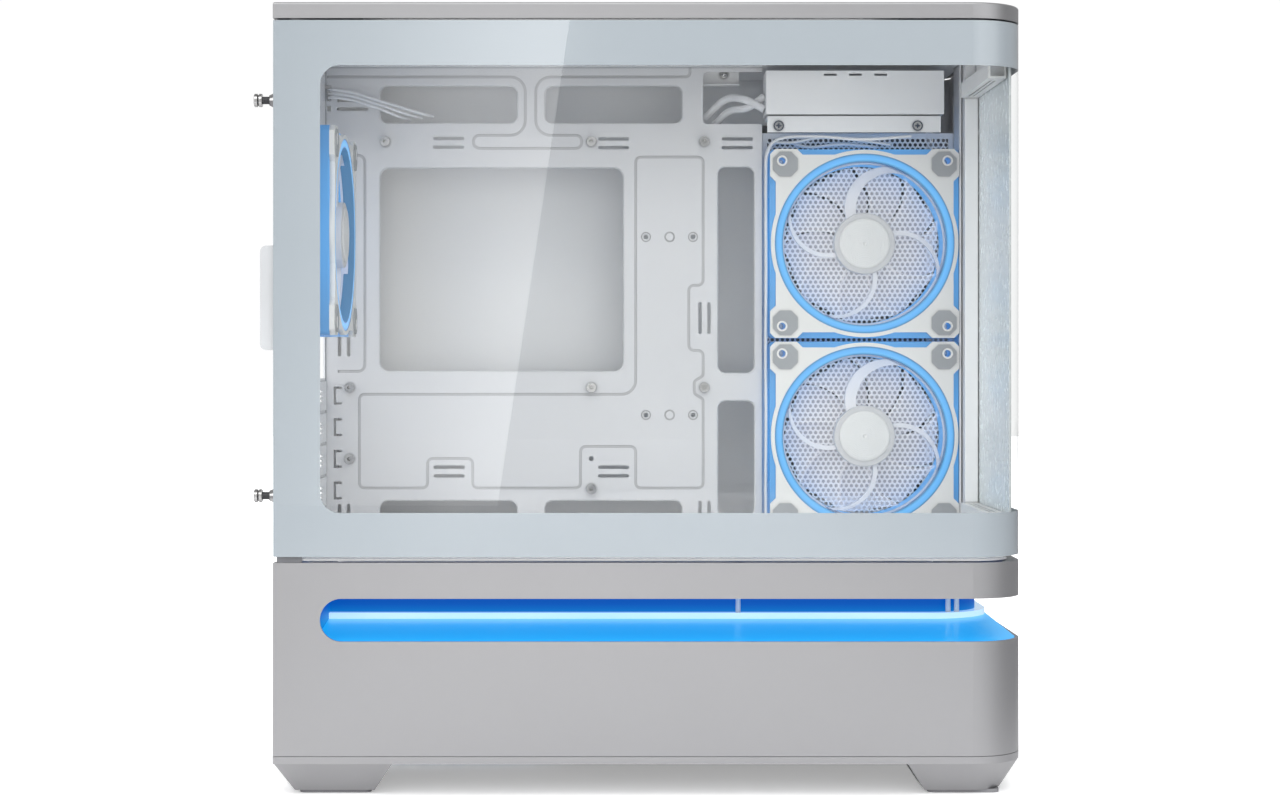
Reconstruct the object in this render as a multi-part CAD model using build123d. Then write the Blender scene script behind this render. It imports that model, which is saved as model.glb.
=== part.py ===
"""Compact computer case with a curved glass side, a lit slot in its lower body and three lit fans.

Millimetres. X runs from the rear to the front, Y from the glass side to the right side, Z up from the ground.
"""

from build123d import *
import math
import os

os.makedirs("parts", exist_ok=True)

# Case envelope
LENGTH = 418.0
WIDTH = 285.0
HEIGHT = 440.5
REAR, FRONT = -LENGTH / 2, LENGTH / 2
LEFT, RIGHT = -WIDTH / 2, WIDTH / 2
CORNER_R = 30.0  # front left corner, which the glass wraps
RIGHT_R = 12.0  # front right corner

# Heights of the stacked parts
FOOT_TOP = 18.2
BASE_TOP = 22.2
SHELL_TOP = 129.6
FLOOR_Z = 130.2
GLASS_BOTTOM = 133.0
GLASS_TOP = 430.5
COVER_BOTTOM = 431.6

SHEET = 1.2  # steel sheet
SHELL = 2.0  # silver shell and cover
GLASS = 4.0
GAP = 0.3

# Depths behind the glass side
TRAY_Y = LEFT + 206.5
STANDOFF = 6.5
FAN_FACE_Y = LEFT + 190.0
FAN_SIZE = 120.0
FAN_DEPTH = 25.0

# Rear wall, its side clearance and the panel flanges
SIDE = 6.2  # steel stays this far inside the side faces
WALL_X = REAR + 5.0  # inner face of the rear wall
WALL = 1.0
SCREW_REACH = 12.0  # thumbscrews stand this far behind the case
SCREW_Z = (387.3, 166.2)
SCREW_INSET = 13.0  # from the side faces

# Fans
FAN_X = FRONT - 68.6
FAN_Z = (316.1, 193.7)
REAR_FAN_Y = LEFT + 97.0
REAR_FAN_Z = 316.4
HOLE_PITCH = 105.0
RING_R, RING_IN_R = 57.0, 52.0
HUB_R = 19.5
TIP_R = 49.8
BORE_R = 50.6

# Light slot in the lower shell
SLOT_BOTTOM, SLOT_TOP = 86.0, 109.8
SLOT_R = (SLOT_TOP - SLOT_BOTTOM) / 2
SLOT_Z = (SLOT_TOP + SLOT_BOTTOM) / 2
SLOT_START = REAR + 26.0
SLOT_END_Y = LEFT + 186.0
CHANNEL_DEPTH = 70.0

# Motherboard pattern: columns along X, rows along Z
COLUMN_X = (-188.2, -33.26, 39.13)
ROW_Z = (382.0, 224.52, 178.8, 159.75)
TOP_REAR_OFFSET = 22.86
SLOT_PITCH = 20.32
FIRST_SLOT_Z = 219.3

# The origin is under the middle of the whole box, thumbscrews included
TO_ORIGIN = Pos(SCREW_REACH / 2, 0, 0)


def save(name, *shapes):
    solids = [s for shape in shapes for s in shape.solids()]
    export_step(TO_ORIGIN * Compound(children=solids), f"parts/{name}.step")


def block(x, y, z):
    """A box from its spans along X, Y and Z."""
    (x0, x1), (y0, y1), (z0, z1) = x, y, z
    middle = Pos((x0 + x1) / 2, (y0 + y1) / 2, (z0 + z1) / 2)
    return middle * Box(abs(x1 - x0), abs(y1 - y0), abs(z1 - z0))


def rod(start, axis, radius, length):
    """A cylinder from start along axis."""
    plane = Plane(origin=start, z_dir=axis)
    return plane * Cylinder(radius, length, align=(Align.CENTER, Align.CENTER, Align.MIN))


def tray_face(y):
    """A sketch plane parallel to the tray, with local x along X and local y along Z."""
    return Plane(origin=(0, y, 0), x_dir=(1, 0, 0), z_dir=(0, -1, 0))


def wall_face(x):
    """A sketch plane parallel to the rear wall, with local x along Y and local y along Z."""
    return Plane(origin=(x, 0, 0), x_dir=(0, 1, 0), z_dir=(1, 0, 0))


def window(x, z, radius):
    """A rounded rectangle in sketch coordinates from its spans."""
    (x0, x1), (z0, z1) = x, z
    return Pos((x0 + x1) / 2, (z0 + z1) / 2) * RectangleRounded(x1 - x0, z1 - z0, radius)


def slots(centres, length, width, turn=0):
    return Sketch() + [Pos(x, z) * Rot(0, 0, turn) * SlotOverall(length, width) for x, z in centres]


def hex_grid(x, z, pitch, radius, keep=lambda px, pz: True):
    """Hexagon centres in staggered rows inside the spans."""
    row = pitch * math.sqrt(3) / 2
    found = []
    for j in range(int((z[1] - z[0] - 2 * radius) / row) + 1):
        pz = z[0] + radius + j * row
        shift = pitch / 2 if j % 2 else 0
        for i in range(int((x[1] - x[0] - 2 * radius - shift) / pitch) + 1):
            px = x[0] + radius + shift + i * pitch
            if keep(px, pz):
                found.append((px, pz))
    return found


def perforated(outline, centres, radius, thickness):
    """A sheet of the outline with a hexagonal hole at each centre."""
    outer = outline.faces()[0]
    holes = [Wire.make_polygon([(x + radius * math.cos(math.radians(60 * k + 30)),
                                 z + radius * math.sin(math.radians(60 * k + 30)), 0)
                                for k in range(6)]) for x, z in centres]
    sheet = Face(outer.outer_wire(), list(outer.inner_wires()) + holes)
    return extrude(sheet, thickness)


def case_outline(inset):
    """The case's plan, with its two rounded front corners."""
    plan = Rectangle(LENGTH - 2 * inset, WIDTH - 2 * inset)
    front = plan.vertices().group_by(Axis.X)[-1].sort_by(Axis.Y)
    plan = fillet(front[0], CORNER_R - inset)
    front = plan.vertices().group_by(Axis.X)[-1].sort_by(Axis.Y)
    return fillet(front[-1], max(RIGHT_R - inset, 1))


def corner_plan(left_inset, front_inset, radius, x_start, y_end):
    """The area inside the left side, the front left corner and the front, closed at x_start and y_end."""
    y = LEFT + left_inset
    x = FRONT - front_inset
    bend = radius * math.sqrt(0.5)
    edges = [
        Line((x_start, y), (x - radius, y)),
        ThreePointArc((x - radius, y), (x - radius + bend, y + radius - bend), (x, y + radius)),
        Line((x, y + radius), (x, y_end)),
        Line((x, y_end), (x_start, y_end)),
        Line((x_start, y_end), (x_start, y)),
    ]
    return make_face(edges)


def prism(face, z0, z1):
    return Pos(0, 0, z0) * extrude(face, z1 - z0)


# ---------------------------------------------------------------- base and feet
PSU_Y = (-58.0, 92.0)
PSU_Z = (25.0, 111.5)


def base_pan():
    pan = prism(case_outline(0), FOOT_TOP, BASE_TOP) - prism(case_outline(SHELL), FOOT_TOP + SHEET, BASE_TOP)
    vents = [block((-180 + 12 * i, -174 + 12 * i), (-48, 68), (FOOT_TOP - 1, FOOT_TOP + 3)) for i in range(10)]
    return pan - vents


def foot(x, y, radius, radius_place):
    """A tapered foot between x and y spans at its top, with one rounded outer corner."""
    slope = 10.5

    def section(inset, z, corner):
        face = Rectangle(abs(x[1] - x[0]) - 2 * inset, abs(y[1] - y[0]) - 2 * inset)
        face = Pos((x[0] + x[1]) / 2, (y[0] + y[1]) / 2) * face
        along = face.vertices().group_by(Axis.X)[-1 if radius_place[0] > 0 else 0].sort_by(Axis.Y)
        return Pos(0, 0, z) * fillet(along[-1 if radius_place[1] > 0 else 0], corner)

    top = section(0, FOOT_TOP, radius)
    bottom = section(slope, PAD, max(radius - slope, 1.5))
    return loft([bottom.faces()[0], top.faces()[0]])


PAD = 2.0
FOOT_LONG, FOOT_WIDE = 66.0, 58.0
FOOT_PLACES = [(REAR, LEFT, 3), (REAR, RIGHT, 3), (FRONT, LEFT, CORNER_R), (FRONT, RIGHT, RIGHT_R)]


def foot_spans(x, y):
    return sorted((x, x - math.copysign(FOOT_LONG, x))), sorted((y, y - math.copysign(FOOT_WIDE, y)))


def feet():
    return [foot(*foot_spans(x, y), r, (x, y)) for x, y, r in FOOT_PLACES]


def foot_pads():
    pads = []
    for x, y, _ in FOOT_PLACES:
        (x0, x1), (y0, y1) = foot_spans(x, y)
        pads.append(Pos((x0 + x1) / 2, (y0 + y1) / 2) * extrude(RectangleRounded(40, 31, 4), PAD))
    return pads


FILTER_X = (-196.0, -50.0)
FILTER_Y = (-58.0, 78.0)


def psu_filter():
    """A framed dust filter that slides out of two rails to the rear."""
    x, y, z = FILTER_X, FILTER_Y, (FOOT_TOP - 4.2, FOOT_TOP - 1.2)
    frame = block(x, y, z) - block((x[0] + 8, x[1] - 8), (y[0] + 8, y[1] - 8), z)
    bars = [block((x[0] + 8, x[1] - 8), (yy - 1, yy + 1), (z[0] + 0.5, z[1] - 0.5)) for yy in (-24, 10, 44)]
    tab = block((x[0] - 9, x[0]), (0, 20), z)
    return frame + bars + tab


def filter_rails():
    rails = []
    for side, y in ((1, FILTER_Y[0]), (-1, FILTER_Y[1])):
        edge = y - side * GAP
        web = block((FILTER_X[0], FILTER_X[1] + 2), sorted((edge, edge - side * 1.5)), (FOOT_TOP - 6, FOOT_TOP))
        lip_y = sorted((edge, edge + side * 4))
        lip = block((FILTER_X[0], FILTER_X[1] + 2), lip_y, (FOOT_TOP - 6, FOOT_TOP - 4.6))
        rails.append(web + lip)
    return rails


# ---------------------------------------------------------------- lower shell and light channel
CHANNEL_X = REAR + 23.0
CHANNEL_Y = LEFT + 190.0
FLOOR_RISE = 5.0
STRIP_Z = (SLOT_BOTTOM + FLOOR_RISE, SLOT_BOTTOM + FLOOR_RISE + 3.4)
INNER = (CHANNEL_DEPTH, 6.0, 38.0)  # left inset, front inset and corner radius of the floor's inner edge
STRIP_STEP = (0.4, 7.6)  # the strip's two edges, measured inward from the floor's inner edge
WALL_STEP = (6.4, 7.6)
IO_Y = (78.0, 96.0, 108.0, 116.0, 124.0)
IO_Z = 62.0
BUTTON_R, SMALL_R = 6.5, 3.2


def inner_plan(step):
    return corner_plan(INNER[0] + step, INNER[1] + step, INNER[2] - step, CHANNEL_X, CHANNEL_Y)


def lower_shell():
    shell = prism(case_outline(0) - case_outline(SHELL), BASE_TOP + GAP, SHELL_TOP)
    shell += prism(case_outline(0) - case_outline(8), SHELL_TOP - 1.8, SHELL_TOP)
    shell -= block((REAR - 1, FRONT - RIGHT_R), (LEFT + 8, RIGHT + 1), (0, HEIGHT))
    shell -= block((REAR + SHELL, WALL_X + 15), (LEFT + SHELL + 0.2, LEFT + 9), (SHELL_TOP - 3, SHELL_TOP + 1))
    z = (SLOT_BOTTOM, SLOT_TOP)
    start, end = SLOT_START + SLOT_R, SLOT_END_Y - SLOT_R
    shell -= block((start, FRONT + 1), (LEFT - 1, LEFT + CORNER_R), z)
    shell -= block((FRONT - CORNER_R, FRONT + 1), (LEFT - 1, end), z)
    shell -= rod((start, LEFT - 1, SLOT_Z), (0, 1, 0), SLOT_R, 6)
    shell -= rod((FRONT - 5, end, SLOT_Z), (1, 0, 0), SLOT_R, 6)
    shell -= rod((FRONT - 5, IO_Y[0], IO_Z), (1, 0, 0), BUTTON_R + GAP, 6)
    shell -= rod((FRONT - 5, IO_Y[1], IO_Z), (1, 0, 0), SMALL_R + GAP, 6)
    shell -= port_openings((FRONT - 5, FRONT + 1), 0.3)
    return shell


def port_openings(x, grow):
    """The solids of the port mouths, two wide and one narrow, and a round jack."""
    mouths = [block(x, (y - 2.9 - grow, y + 2.9 + grow), (IO_Z - 7 - grow, IO_Z + 7 + grow)) for y in IO_Y[2:4]]
    mouths += [block(x, (IO_Y[4] - 1.8 - grow, IO_Y[4] + 1.8 + grow), (IO_Z - 4.7 - grow, IO_Z + 4.7 + grow))]
    return Part() + mouths


def light_floor():
    """The floor of the light channel, rising inward to a flat ledge."""
    outer = corner_plan(SHELL + 0.2, SHELL + 0.2, CORNER_R - SHELL - 0.2, CHANNEL_X, CHANNEL_Y)
    low = Pos(0, 0, SLOT_BOTTOM) * outer
    high = Pos(0, 0, STRIP_Z[0]) * inner_plan(0)
    slab = loft([low.faces()[0], high.faces()[0]], ruled=True) + prism(outer, SLOT_BOTTOM - 1.5, SLOT_BOTTOM)
    return slab - prism(inner_plan(4), 0, HEIGHT)


def light_strip():
    return prism(inner_plan(STRIP_STEP[0]) - inner_plan(STRIP_STEP[1]), *STRIP_Z)


def light_wall():
    """The back wall and ceiling of the light channel, with its two end walls."""
    top = SLOT_TOP + 2
    wall = prism(inner_plan(WALL_STEP[0]) - inner_plan(WALL_STEP[1]), STRIP_Z[1], top)
    outer = corner_plan(SHELL + 0.2, SHELL + 0.2, CORNER_R - SHELL - 0.2, CHANNEL_X, CHANNEL_Y)
    ceiling = prism(outer - inner_plan(WALL_STEP[1]), top, top + SHEET)
    rear = block((CHANNEL_X - SHEET, CHANNEL_X), (LEFT + SHELL + 0.2, LEFT + CHANNEL_DEPTH + WALL_STEP[1]),
                 (SLOT_BOTTOM - 1.5, top + SHEET))
    right = block((FRONT - INNER[1] - WALL_STEP[1], FRONT - SHELL - 0.2), (CHANNEL_Y, CHANNEL_Y + SHEET),
                  (SLOT_BOTTOM - 1.5, top + SHEET))
    return wall + ceiling + rear + right


POST_X = (53.1, 176.2, 181.6)
POST_R = 1.5


def light_posts():
    """Posts between the strip and the ceiling, along the middle of the strip's free edge."""
    step = STRIP_STEP[0] + 3.0
    bend_x, bend_y, radius = FRONT - INNER[1] - INNER[2], LEFT + INNER[0] + INNER[2], INNER[2] - step
    posts = []
    for x in POST_X:
        across = max(x - bend_x, 0)
        y = bend_y - math.sqrt(radius**2 - across**2)
        posts.append(rod((x, y, STRIP_Z[1]), (0, 0, 1), POST_R, SLOT_TOP + 2 - STRIP_Z[1]))
    return posts


def front_fascia():
    """The silver front right of the glass, with upright intake slots."""
    side = prism(case_outline(0) - case_outline(SHELL), GLASS_BOTTOM, GLASS_TOP)
    side &= block((FRONT - RIGHT_R, FRONT + 1), (FASCIA_Y, RIGHT + 1), (0, HEIGHT))
    cuts = [block((FRONT - 5, FRONT + 1), (y - 1.6, y + 1.6), (z, z + 38))
            for y in [FASCIA_Y + 24 + 9 * i for i in range(11)] for z in [150 + 46 * j for j in range(6)]]
    return side - cuts


# ---------------------------------------------------------------- steel frame
GLASS_END_Y = LEFT + 145.0
FASCIA_Y = GLASS_END_Y + 0.8
ROOF_Z = GLASS_TOP - 0.4


def groove(points, radii, close=False):
    """A pressed line in the tray's face along a rounded path."""
    path = FilletPolyline(*points, radius=radii, close=close)
    return extrude(tray_face(TRAY_Y) * trace(path, GROOVE_WIDTH), -GROOVE_DEPTH)


GROOVE_WIDTH, GROOVE_DEPTH = 1.7, 0.75
HOOK_X = -201.6
TRAY_FRONT = 76.3
CUTS = {  # cut-outs of the tray: X span, Z span, corner radius
    "top_rear": ((-168.9, -81.0), (394.3, 418.0), 5),
    "top_front": ((-63.0, 24.9), (394.3, 418.0), 5),
    "socket": ((-168.9, -12.9), (235.0, 365.4), 6),
    "side_upper": ((48.1, 71.2), (233.8, 366.0), 5),
    "side_lower": ((48.1, 71.2), (142.0, 215.8), 5),
    "bottom_rear": ((-168.9, -81.0), (137.0, 151.6), 5),
    "bottom_front": ((-63.0, 24.9), (137.0, 151.6), 5),
}
STANDOFFS = [(COLUMN_X[0] + TOP_REAR_OFFSET, ROW_Z[0]), (COLUMN_X[1], ROW_Z[0]), (COLUMN_X[2], ROW_Z[0]),
             (COLUMN_X[0], ROW_Z[1]), (COLUMN_X[1], ROW_Z[1]), (COLUMN_X[2], ROW_Z[1]),
             (COLUMN_X[0], ROW_Z[2]), (COLUMN_X[1], ROW_Z[3])]


def tray_slots():
    """Cable tie slots in pairs, level and upright, the slits by the expansion slots, and small holes."""
    level_places = ((-186.6, 406.0), (-125, 381.5), (-19, 381.2), (60.5, 381.2), (-124.5, 170.5), (-19, 170.5))
    level = [(x, z + s) for x, z in level_places for s in (-2.8, 2.8)]
    upright = [(x + s, z) for x, z in ((39.4, 269.0), (-192.0, 254.5), (39.4, 141.5), (-192.0, 139.5))
               for s in (-2.9, 2.9)]
    cut = slots(level, 20, 2.3) + slots(upright, 20.5, 2.3, 90) + slots([(-187.6, 344.5)], 20, 2.3, 90)
    for k in range(4):
        z = FIRST_SLOT_Z - k * SLOT_PITCH
        cut += Pos(-197.9, z) * Rectangle(1.6, 11.6)
        cut += [Pos(-195.8, z + s) * Rectangle(4.6, 1.6) for s in (-5.0, 5.0)]
    for z in (321.1, 206.8):
        cut += [Pos(x, z) * Circle(1.6) for x in (1.8, 32.0)]
    cut += Pos(COLUMN_X[1], ROW_Z[2]) * Circle(1.7)
    cut += Pos(HOOK_X, 413.0) * Rectangle(2.4, 9.6)
    cut += Pos(HOOK_X - 0.6, 417.4) * Rectangle(3.6, 2.4)
    cut += Pos(HOOK_X, 403.4) * Rectangle(2.4, 3.6)
    return cut


def tray_grooves():
    """Pressed stiffening lines in the tray's front face."""
    bus = [(WALL_X + 1, 423.8), (-75.7, 423.8), (-75.7, 386.4), (-108.9, 386.4), (-108.9, 378.0),
           (-39.4, 378.0), (-39.4, 386.4), (-68.9, 386.4), (-68.9, 423.8), (30.1, 423.8), (30.1, ROOF_Z)]
    bus_radii = [9.5, 9.5, 4.0, 4.0, 4.0, 4.0, 9.5, 9.5, 3.0]
    column = [(-191.4, 373.5), (-178.6, 373.5), (-178.6, 234.8), (-196.0, 234.8)]
    board = [(-4.8, 372.4), (38.5, 372.4), (38.5, 290.1), (29.3, 290.1), (29.3, 248.3), (38.5, 248.3),
             (38.5, 232.0), (32.8, 228.5), (32.8, 220.5), (38.5, 217.0), (38.5, 159.9), (-4.8, 159.9),
             (-4.8, 186.6), (-40.2, 186.6), (-40.2, 159.9), (-109.4, 159.9), (-109.4, 178.9), (-138.4, 178.9),
             (-138.4, 159.9), (-182.2, 159.9), (-182.2, 220.1), (-4.8, 220.1)]
    board_radii = [3.5] * 6 + [2.5] * 4 + [3.5] * 11 + [9.0]
    lines = [groove(bus, bus_radii), groove(column, [4.6, 4.6]), groove(board, board_radii, close=True)]
    spots = ((17.0, 3.4, 2.4), (1.8, 3.2, 2.5), (32.0, 3.2, 2.5))
    rings = [extrude(tray_face(TRAY_Y) * (Pos(x, z) * (Circle(outer) - Circle(inner))), -0.6)
             for z in (321.1, 206.8) for x, outer, inner in spots]
    return lines + rings


def motherboard_tray():
    tray = block((WALL_X, TRAY_FRONT), (TRAY_Y, TRAY_Y + SHEET), (FLOOR_Z + SHEET, ROOF_Z))
    cut = Sketch() + [window(*span) for span in CUTS.values()]
    cut += window((38.4, 90.0), (393.6, 427.0), 3)
    cut += tray_slots()
    tray -= extrude(tray_face(TRAY_Y) * cut, -SHEET)
    tray -= eased_edges()
    tray -= tray_grooves()
    fold_y = (TRAY_Y, FAN_FACE_Y + FAN_DEPTH + 1.0)
    tray += block((TRAY_FRONT - SHEET, TRAY_FRONT), fold_y, (FLOOR_Z + SHEET, 390.0))
    tray += rolled_rims()
    return tray


EASE = 0.8


def eased_edges():
    """The bevel round the front of each large cut-out."""
    bevels = []
    for (x0, x1), (z0, z1), radius in CUTS.values():
        front = tray_face(TRAY_Y) * window((x0 - EASE, x1 + EASE), (z0 - EASE, z1 + EASE), radius + EASE)
        back = tray_face(TRAY_Y + EASE) * window((x0, x1), (z0, z1), radius)
        bevels.append(loft([front.faces()[0], back.faces()[0]]))
    return bevels


def rolled_rims():
    """Raised rims round the large cut-outs, standing behind the tray."""
    rims = []
    for name in ("socket", "side_upper", "top_rear", "top_front"):
        (x0, x1), (z0, z1), radius = CUTS[name]
        rim = window((x0 - SHEET, x1 + SHEET), (z0 - SHEET, z1 + SHEET), radius + SHEET) - window(*CUTS[name])
        rims.append(extrude(tray_face(TRAY_Y + SHEET) * rim, -3.0))
    return rims


def standoffs():
    top = TRAY_Y - STANDOFF
    return [rod((x, TRAY_Y, z), (0, -1, 0), 3.0, STANDOFF) - rod((x, top, z), (0, 1, 0), 1.25, 5.5)
            for x, z in STANDOFFS]


BOARD_Y = TRAY_Y - STANDOFF
IO_OPENING = ((BOARD_Y - 41.4, BOARD_Y + 3.0), (230.5, 389.25))
SLOT_Y = (-42.0, 60.0)


def slot_centres():
    return [FIRST_SLOT_Z - k * SLOT_PITCH for k in range(4)]


def rear_panel():
    sheet = window((LEFT + SIDE, RIGHT - SIDE), (FOOT_TOP + 4.2, ROOF_Z), 1.5)
    sheet -= window(*IO_OPENING, 1)
    for z in slot_centres():
        sheet -= window(SLOT_Y, (z - 6.5, z + 6.5), 1)
    sheet -= window((PSU_Y[0] + 4, PSU_Y[1] - 4), (PSU_Z[0] + 4, PSU_Z[1] - 3), 3)
    sheet -= slots([(-96.0, 150.0 + 9.0 * k) for k in range(9)], 66, 3.2, -18)
    reach = HOLE_PITCH / 2
    holes = [(REAR_FAN_Y + a * reach, REAR_FAN_Z + b * reach) for a in (-1, 1) for b in (-1, 1)]
    sheet -= Sketch() + [Pos(*p) * Circle(2.15) for p in holes]
    sheet -= Sketch() + [Pos(-51.0, z) * Circle(1.55) for z in slot_centres()]
    sheet -= Sketch() + [Pos(*p) * Circle(1.55) for p in PSU_HOLES]
    sheet -= Sketch() + [Pos(y, z) * Circle(SCREW_SHANK_R + 0.05) for y, z in SCREW_PLACES]
    centres = hex_grid((REAR_FAN_Y - 54, REAR_FAN_Y + 54), (REAR_FAN_Z - 54, REAR_FAN_Z + 54), 8.0, 3.4,
                       lambda y, z: math.hypot(y - REAR_FAN_Y, z - REAR_FAN_Z) < 50)
    panel = wall_face(WALL_X - WALL) * perforated(sheet, centres, 3.4, WALL)
    for side in (-1, 1):
        y = side * (RIGHT - SIDE)
        flange = block((WALL_X, WALL_X + 12), sorted((y, y - side * WALL)), (FLOOR_Z + 2, ROOF_Z))
        panel += flange
    for y, z in SCREW_PLACES:
        boss = rod((WALL_X - WALL, y, z), (-1, 0, 0), 4.2, 2.6)
        panel += boss - rod((WALL_X, y, z), (-1, 0, 0), SCREW_SHANK_R + 0.05, 9)
    return panel


def slot_covers():
    covers = []
    for z in slot_centres():
        strip = window((-56.0, 62.0), (z - 9.2, z + 9.2), 1) - Pos(-51.0, z) * Circle(1.55)
        strip -= slots([(10.0, z + s) for s in (-3, 0, 3)], 60, 1.5)
        covers.append(wall_face(WALL_X) * extrude(strip, 0.9))
    return covers


def psu_bracket():
    plate = window(PSU_Y, PSU_Z, 2) - window((PSU_Y[0] + 7, PSU_Y[1] - 7), (PSU_Z[0] + 7, PSU_Z[1] - 6), 3)
    plate -= Sketch() + [Pos(y, z) * Circle(1.75) for y, z in PSU_HOLES]
    return wall_face(WALL_X - WALL - 1.5) * extrude(plate, 1.5)


PSU_HOLES = [(-54.5, 29.0), (88.5, 29.0), (-54.5, 107.5), (88.5, 107.5)]


def chamber_floor():
    """The floor of the main chamber, over the power supply."""
    plate = block((WALL_X, FRONT - 8), (LEFT + SIDE, RIGHT - SIDE), (FLOOR_Z, FLOOR_Z + SHEET))
    plate &= prism(case_outline(6), FLOOR_Z - 20, FLOOR_Z + 2)
    vents = [block((x, x + 3.5), (y, y + 62), (FLOOR_Z - 1, FLOOR_Z + 3))
             for x in [-180 + 9 * i for i in range(26)] for y in (-118, -42)]
    lead = [block((-160 + 90 * i, -100 + 90 * i), (26, 48), (FLOOR_Z - 1, FLOOR_Z + 3)) for i in range(3)]
    flange = block((WALL_X, 170), (RIGHT - SIDE - SHEET, RIGHT - SIDE), (FLOOR_Z - 14, FLOOR_Z))
    return plate - vents - lead + flange


def roof_frame():
    plate = prism(case_outline(6), ROOF_Z, ROOF_Z + SHEET - 0.2)
    plate &= block((WALL_X - WALL, FRONT - 6), (LEFT + SIDE, RIGHT - SIDE), (0, HEIGHT))
    plate -= block((-150, 130), (-95, 35), (ROOF_Z - 1, ROOF_Z + 3))
    rail = [block((-150, 130), (y, y + 15), (ROOF_Z, ROOF_Z + SHEET - 0.2)) - [
        rod((x, y + 7.5, ROOF_Z - 1), (0, 0, 1), 2.2, 4) for x in (-140, -35, -20, 85)] for y in (-95, 10)]
    fold = block((-150, 130), (35, 35 + SHEET), (ROOF_Z - 1.6, ROOF_Z))
    return plate + rail + fold


MESH_X = (76.6, FRONT - 7.1)
MESH_Z = (FLOOR_Z + SHEET + 0.2, 388.5)
MESH_Y = FAN_FACE_Y + FAN_DEPTH


def fan_hole_places():
    reach = HOLE_PITCH / 2
    return [(FAN_X + a * reach, z + b * reach) for z in FAN_Z for a in (-1, 1) for b in (-1, 1)]


def side_fan_bracket():
    sheet = Pos((MESH_X[0] + MESH_X[1]) / 2, (MESH_Z[0] + MESH_Z[1]) / 2) * Rectangle(
        MESH_X[1] - MESH_X[0], MESH_Z[1] - MESH_Z[0])
    sheet -= Sketch() + [Pos(x, z) * Circle(2.15) for x, z in fan_hole_places()]
    centres = hex_grid((82, 197), (137, 386), 12.0, 5.2,
                       lambda x, z: all(math.hypot(x - hx, z - hz) > 9 for hx, hz in fan_hole_places()))
    flat = tray_face(MESH_Y) * perforated(sheet, centres, 5.2, 1.0)
    plate = Pos(0, 1.0, 0) * flat
    side = block((MESH_X[1] - SHEET, MESH_X[1]), (MESH_Y - 24, MESH_Y + 1), (MESH_Z[0], ROOF_Z - 0.2))
    return plate + side


RAIL_Y = (LEFT + 40, GLASS_END_Y - 4.4)
RAIL_X = (FRONT - 15.0, FRONT - 4.6)
PILLAR_X = (FRONT - 12.5, FRONT - 4.6)


def front_pillar():
    """An angle with a face towards the glass side and a web along the front glass's end."""
    z = (FLOOR_Z + SHEET, ROOF_Z)
    face = block(PILLAR_X, (RAIL_Y[1] + 0.4, RAIL_Y[1] + 0.4 + SHEET), z)
    web_x = (PILLAR_X[1] - 1.8, PILLAR_X[1])
    web = block(web_x, (RAIL_Y[1] + 0.4, LEFT + 196), z)
    holes = [rod((web_x[0] - 1, GLASS_END_Y + 10, hole_z), (1, 0, 0), 2.2, 5) for hole_z in range(150, 401, 50)]
    return face + web - holes


def front_rail(z, up):
    """A folded rail behind the front glass, with long grooves in the side that faces its window."""
    face_z = (z, z + SHEET) if up else (z - SHEET, z)
    end_z = ROOF_Z if up else FLOOR_Z + SHEET
    lip_z = z + 9.0 if up else z - 9.0
    face = block(RAIL_X, RAIL_Y, face_z)
    web = block((RAIL_X[1] - SHEET, RAIL_X[1]), RAIL_Y, sorted((z, end_z)))
    lip = block((RAIL_X[0], RAIL_X[0] + SHEET), RAIL_Y, sorted((z, lip_z)))
    cuts = [block((x - 0.6, x + 0.6), (RAIL_Y[0] + 12, RAIL_Y[1] - 8), (z - 2, z + 2))
            for x in (RAIL_X[0] + 3.4, RAIL_X[0] + 6.0)]
    return face + web + lip - cuts


TOP_RAIL_Z, BOTTOM_RAIL_Z = 403.0, 154.5


def hub_cover():
    """The folded box that covers the fan hub above the side fans."""
    x, y, z = (77.5, 190.0), (MESH_Y - 30, MESH_Y - 1), (397.8, 425.2)
    inside = block((x[0] + SHEET, x[1] - SHEET), (y[0] + SHEET, y[1] + 1), (z[0] + SHEET, z[1] - SHEET))
    box = block(x, y, z) - inside
    slits = [block((xx - 4, xx + 4), (y[0] - 1, y[0] + 3), (z[1] - 3.2, z[1] - 1.9)) for xx in (118, 134, 150)]
    return box - slits


def hub_plate():
    plate = block((78.5, 188.5), (MESH_Y - 26, MESH_Y - 24.8), (386.6, 397.0))
    fold = block((78.5, 188.5), (MESH_Y - 24.8, MESH_Y - 1), (395.8, 397.0))
    return plate + fold - [rod((x, MESH_Y - 30, 390.6), (0, 1, 0), 1.75, 9) for x in HUB_SCREW_X]


HUB_SCREW_X = (85.6, 173.6)


def interior_screws():
    """Pan head screws: hub plate, expansion slot covers, power supply bracket and the light channel's wall."""
    def screw(place, axis, length, head=3.2):
        back = tuple(p - a * 1.8 for p, a in zip(place, axis))
        recess = rod(back, axis, 0.9, 1.0)
        return rod(back, axis, head, 1.8) + rod(place, axis, 1.5, length) - recess

    found = [screw((x, MESH_Y - 26, 390.6), (0, 1, 0), 6) for x in HUB_SCREW_X]
    found += [screw((WALL_X - WALL, -51.0, z), (1, 0, 0), 5) for z in slot_centres()]
    found += [screw((WALL_X - WALL - 1.5, y, z), (1, 0, 0), 7, 3.0) for y, z in PSU_HOLES]
    return found


# ---------------------------------------------------------------- skins
def top_cover():
    cover = prism(case_outline(0), COVER_BOTTOM, HEIGHT)
    cover = fillet(cover.edges().group_by(Axis.Z)[-1], 1.2)
    cover -= prism(case_outline(SHELL), COVER_BOTTOM - 1, HEIGHT - SHELL)
    return cover - prism(Pos(-10, -30) * RectangleRounded(300, 150, 6), COVER_BOTTOM, HEIGHT + 1)


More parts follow.
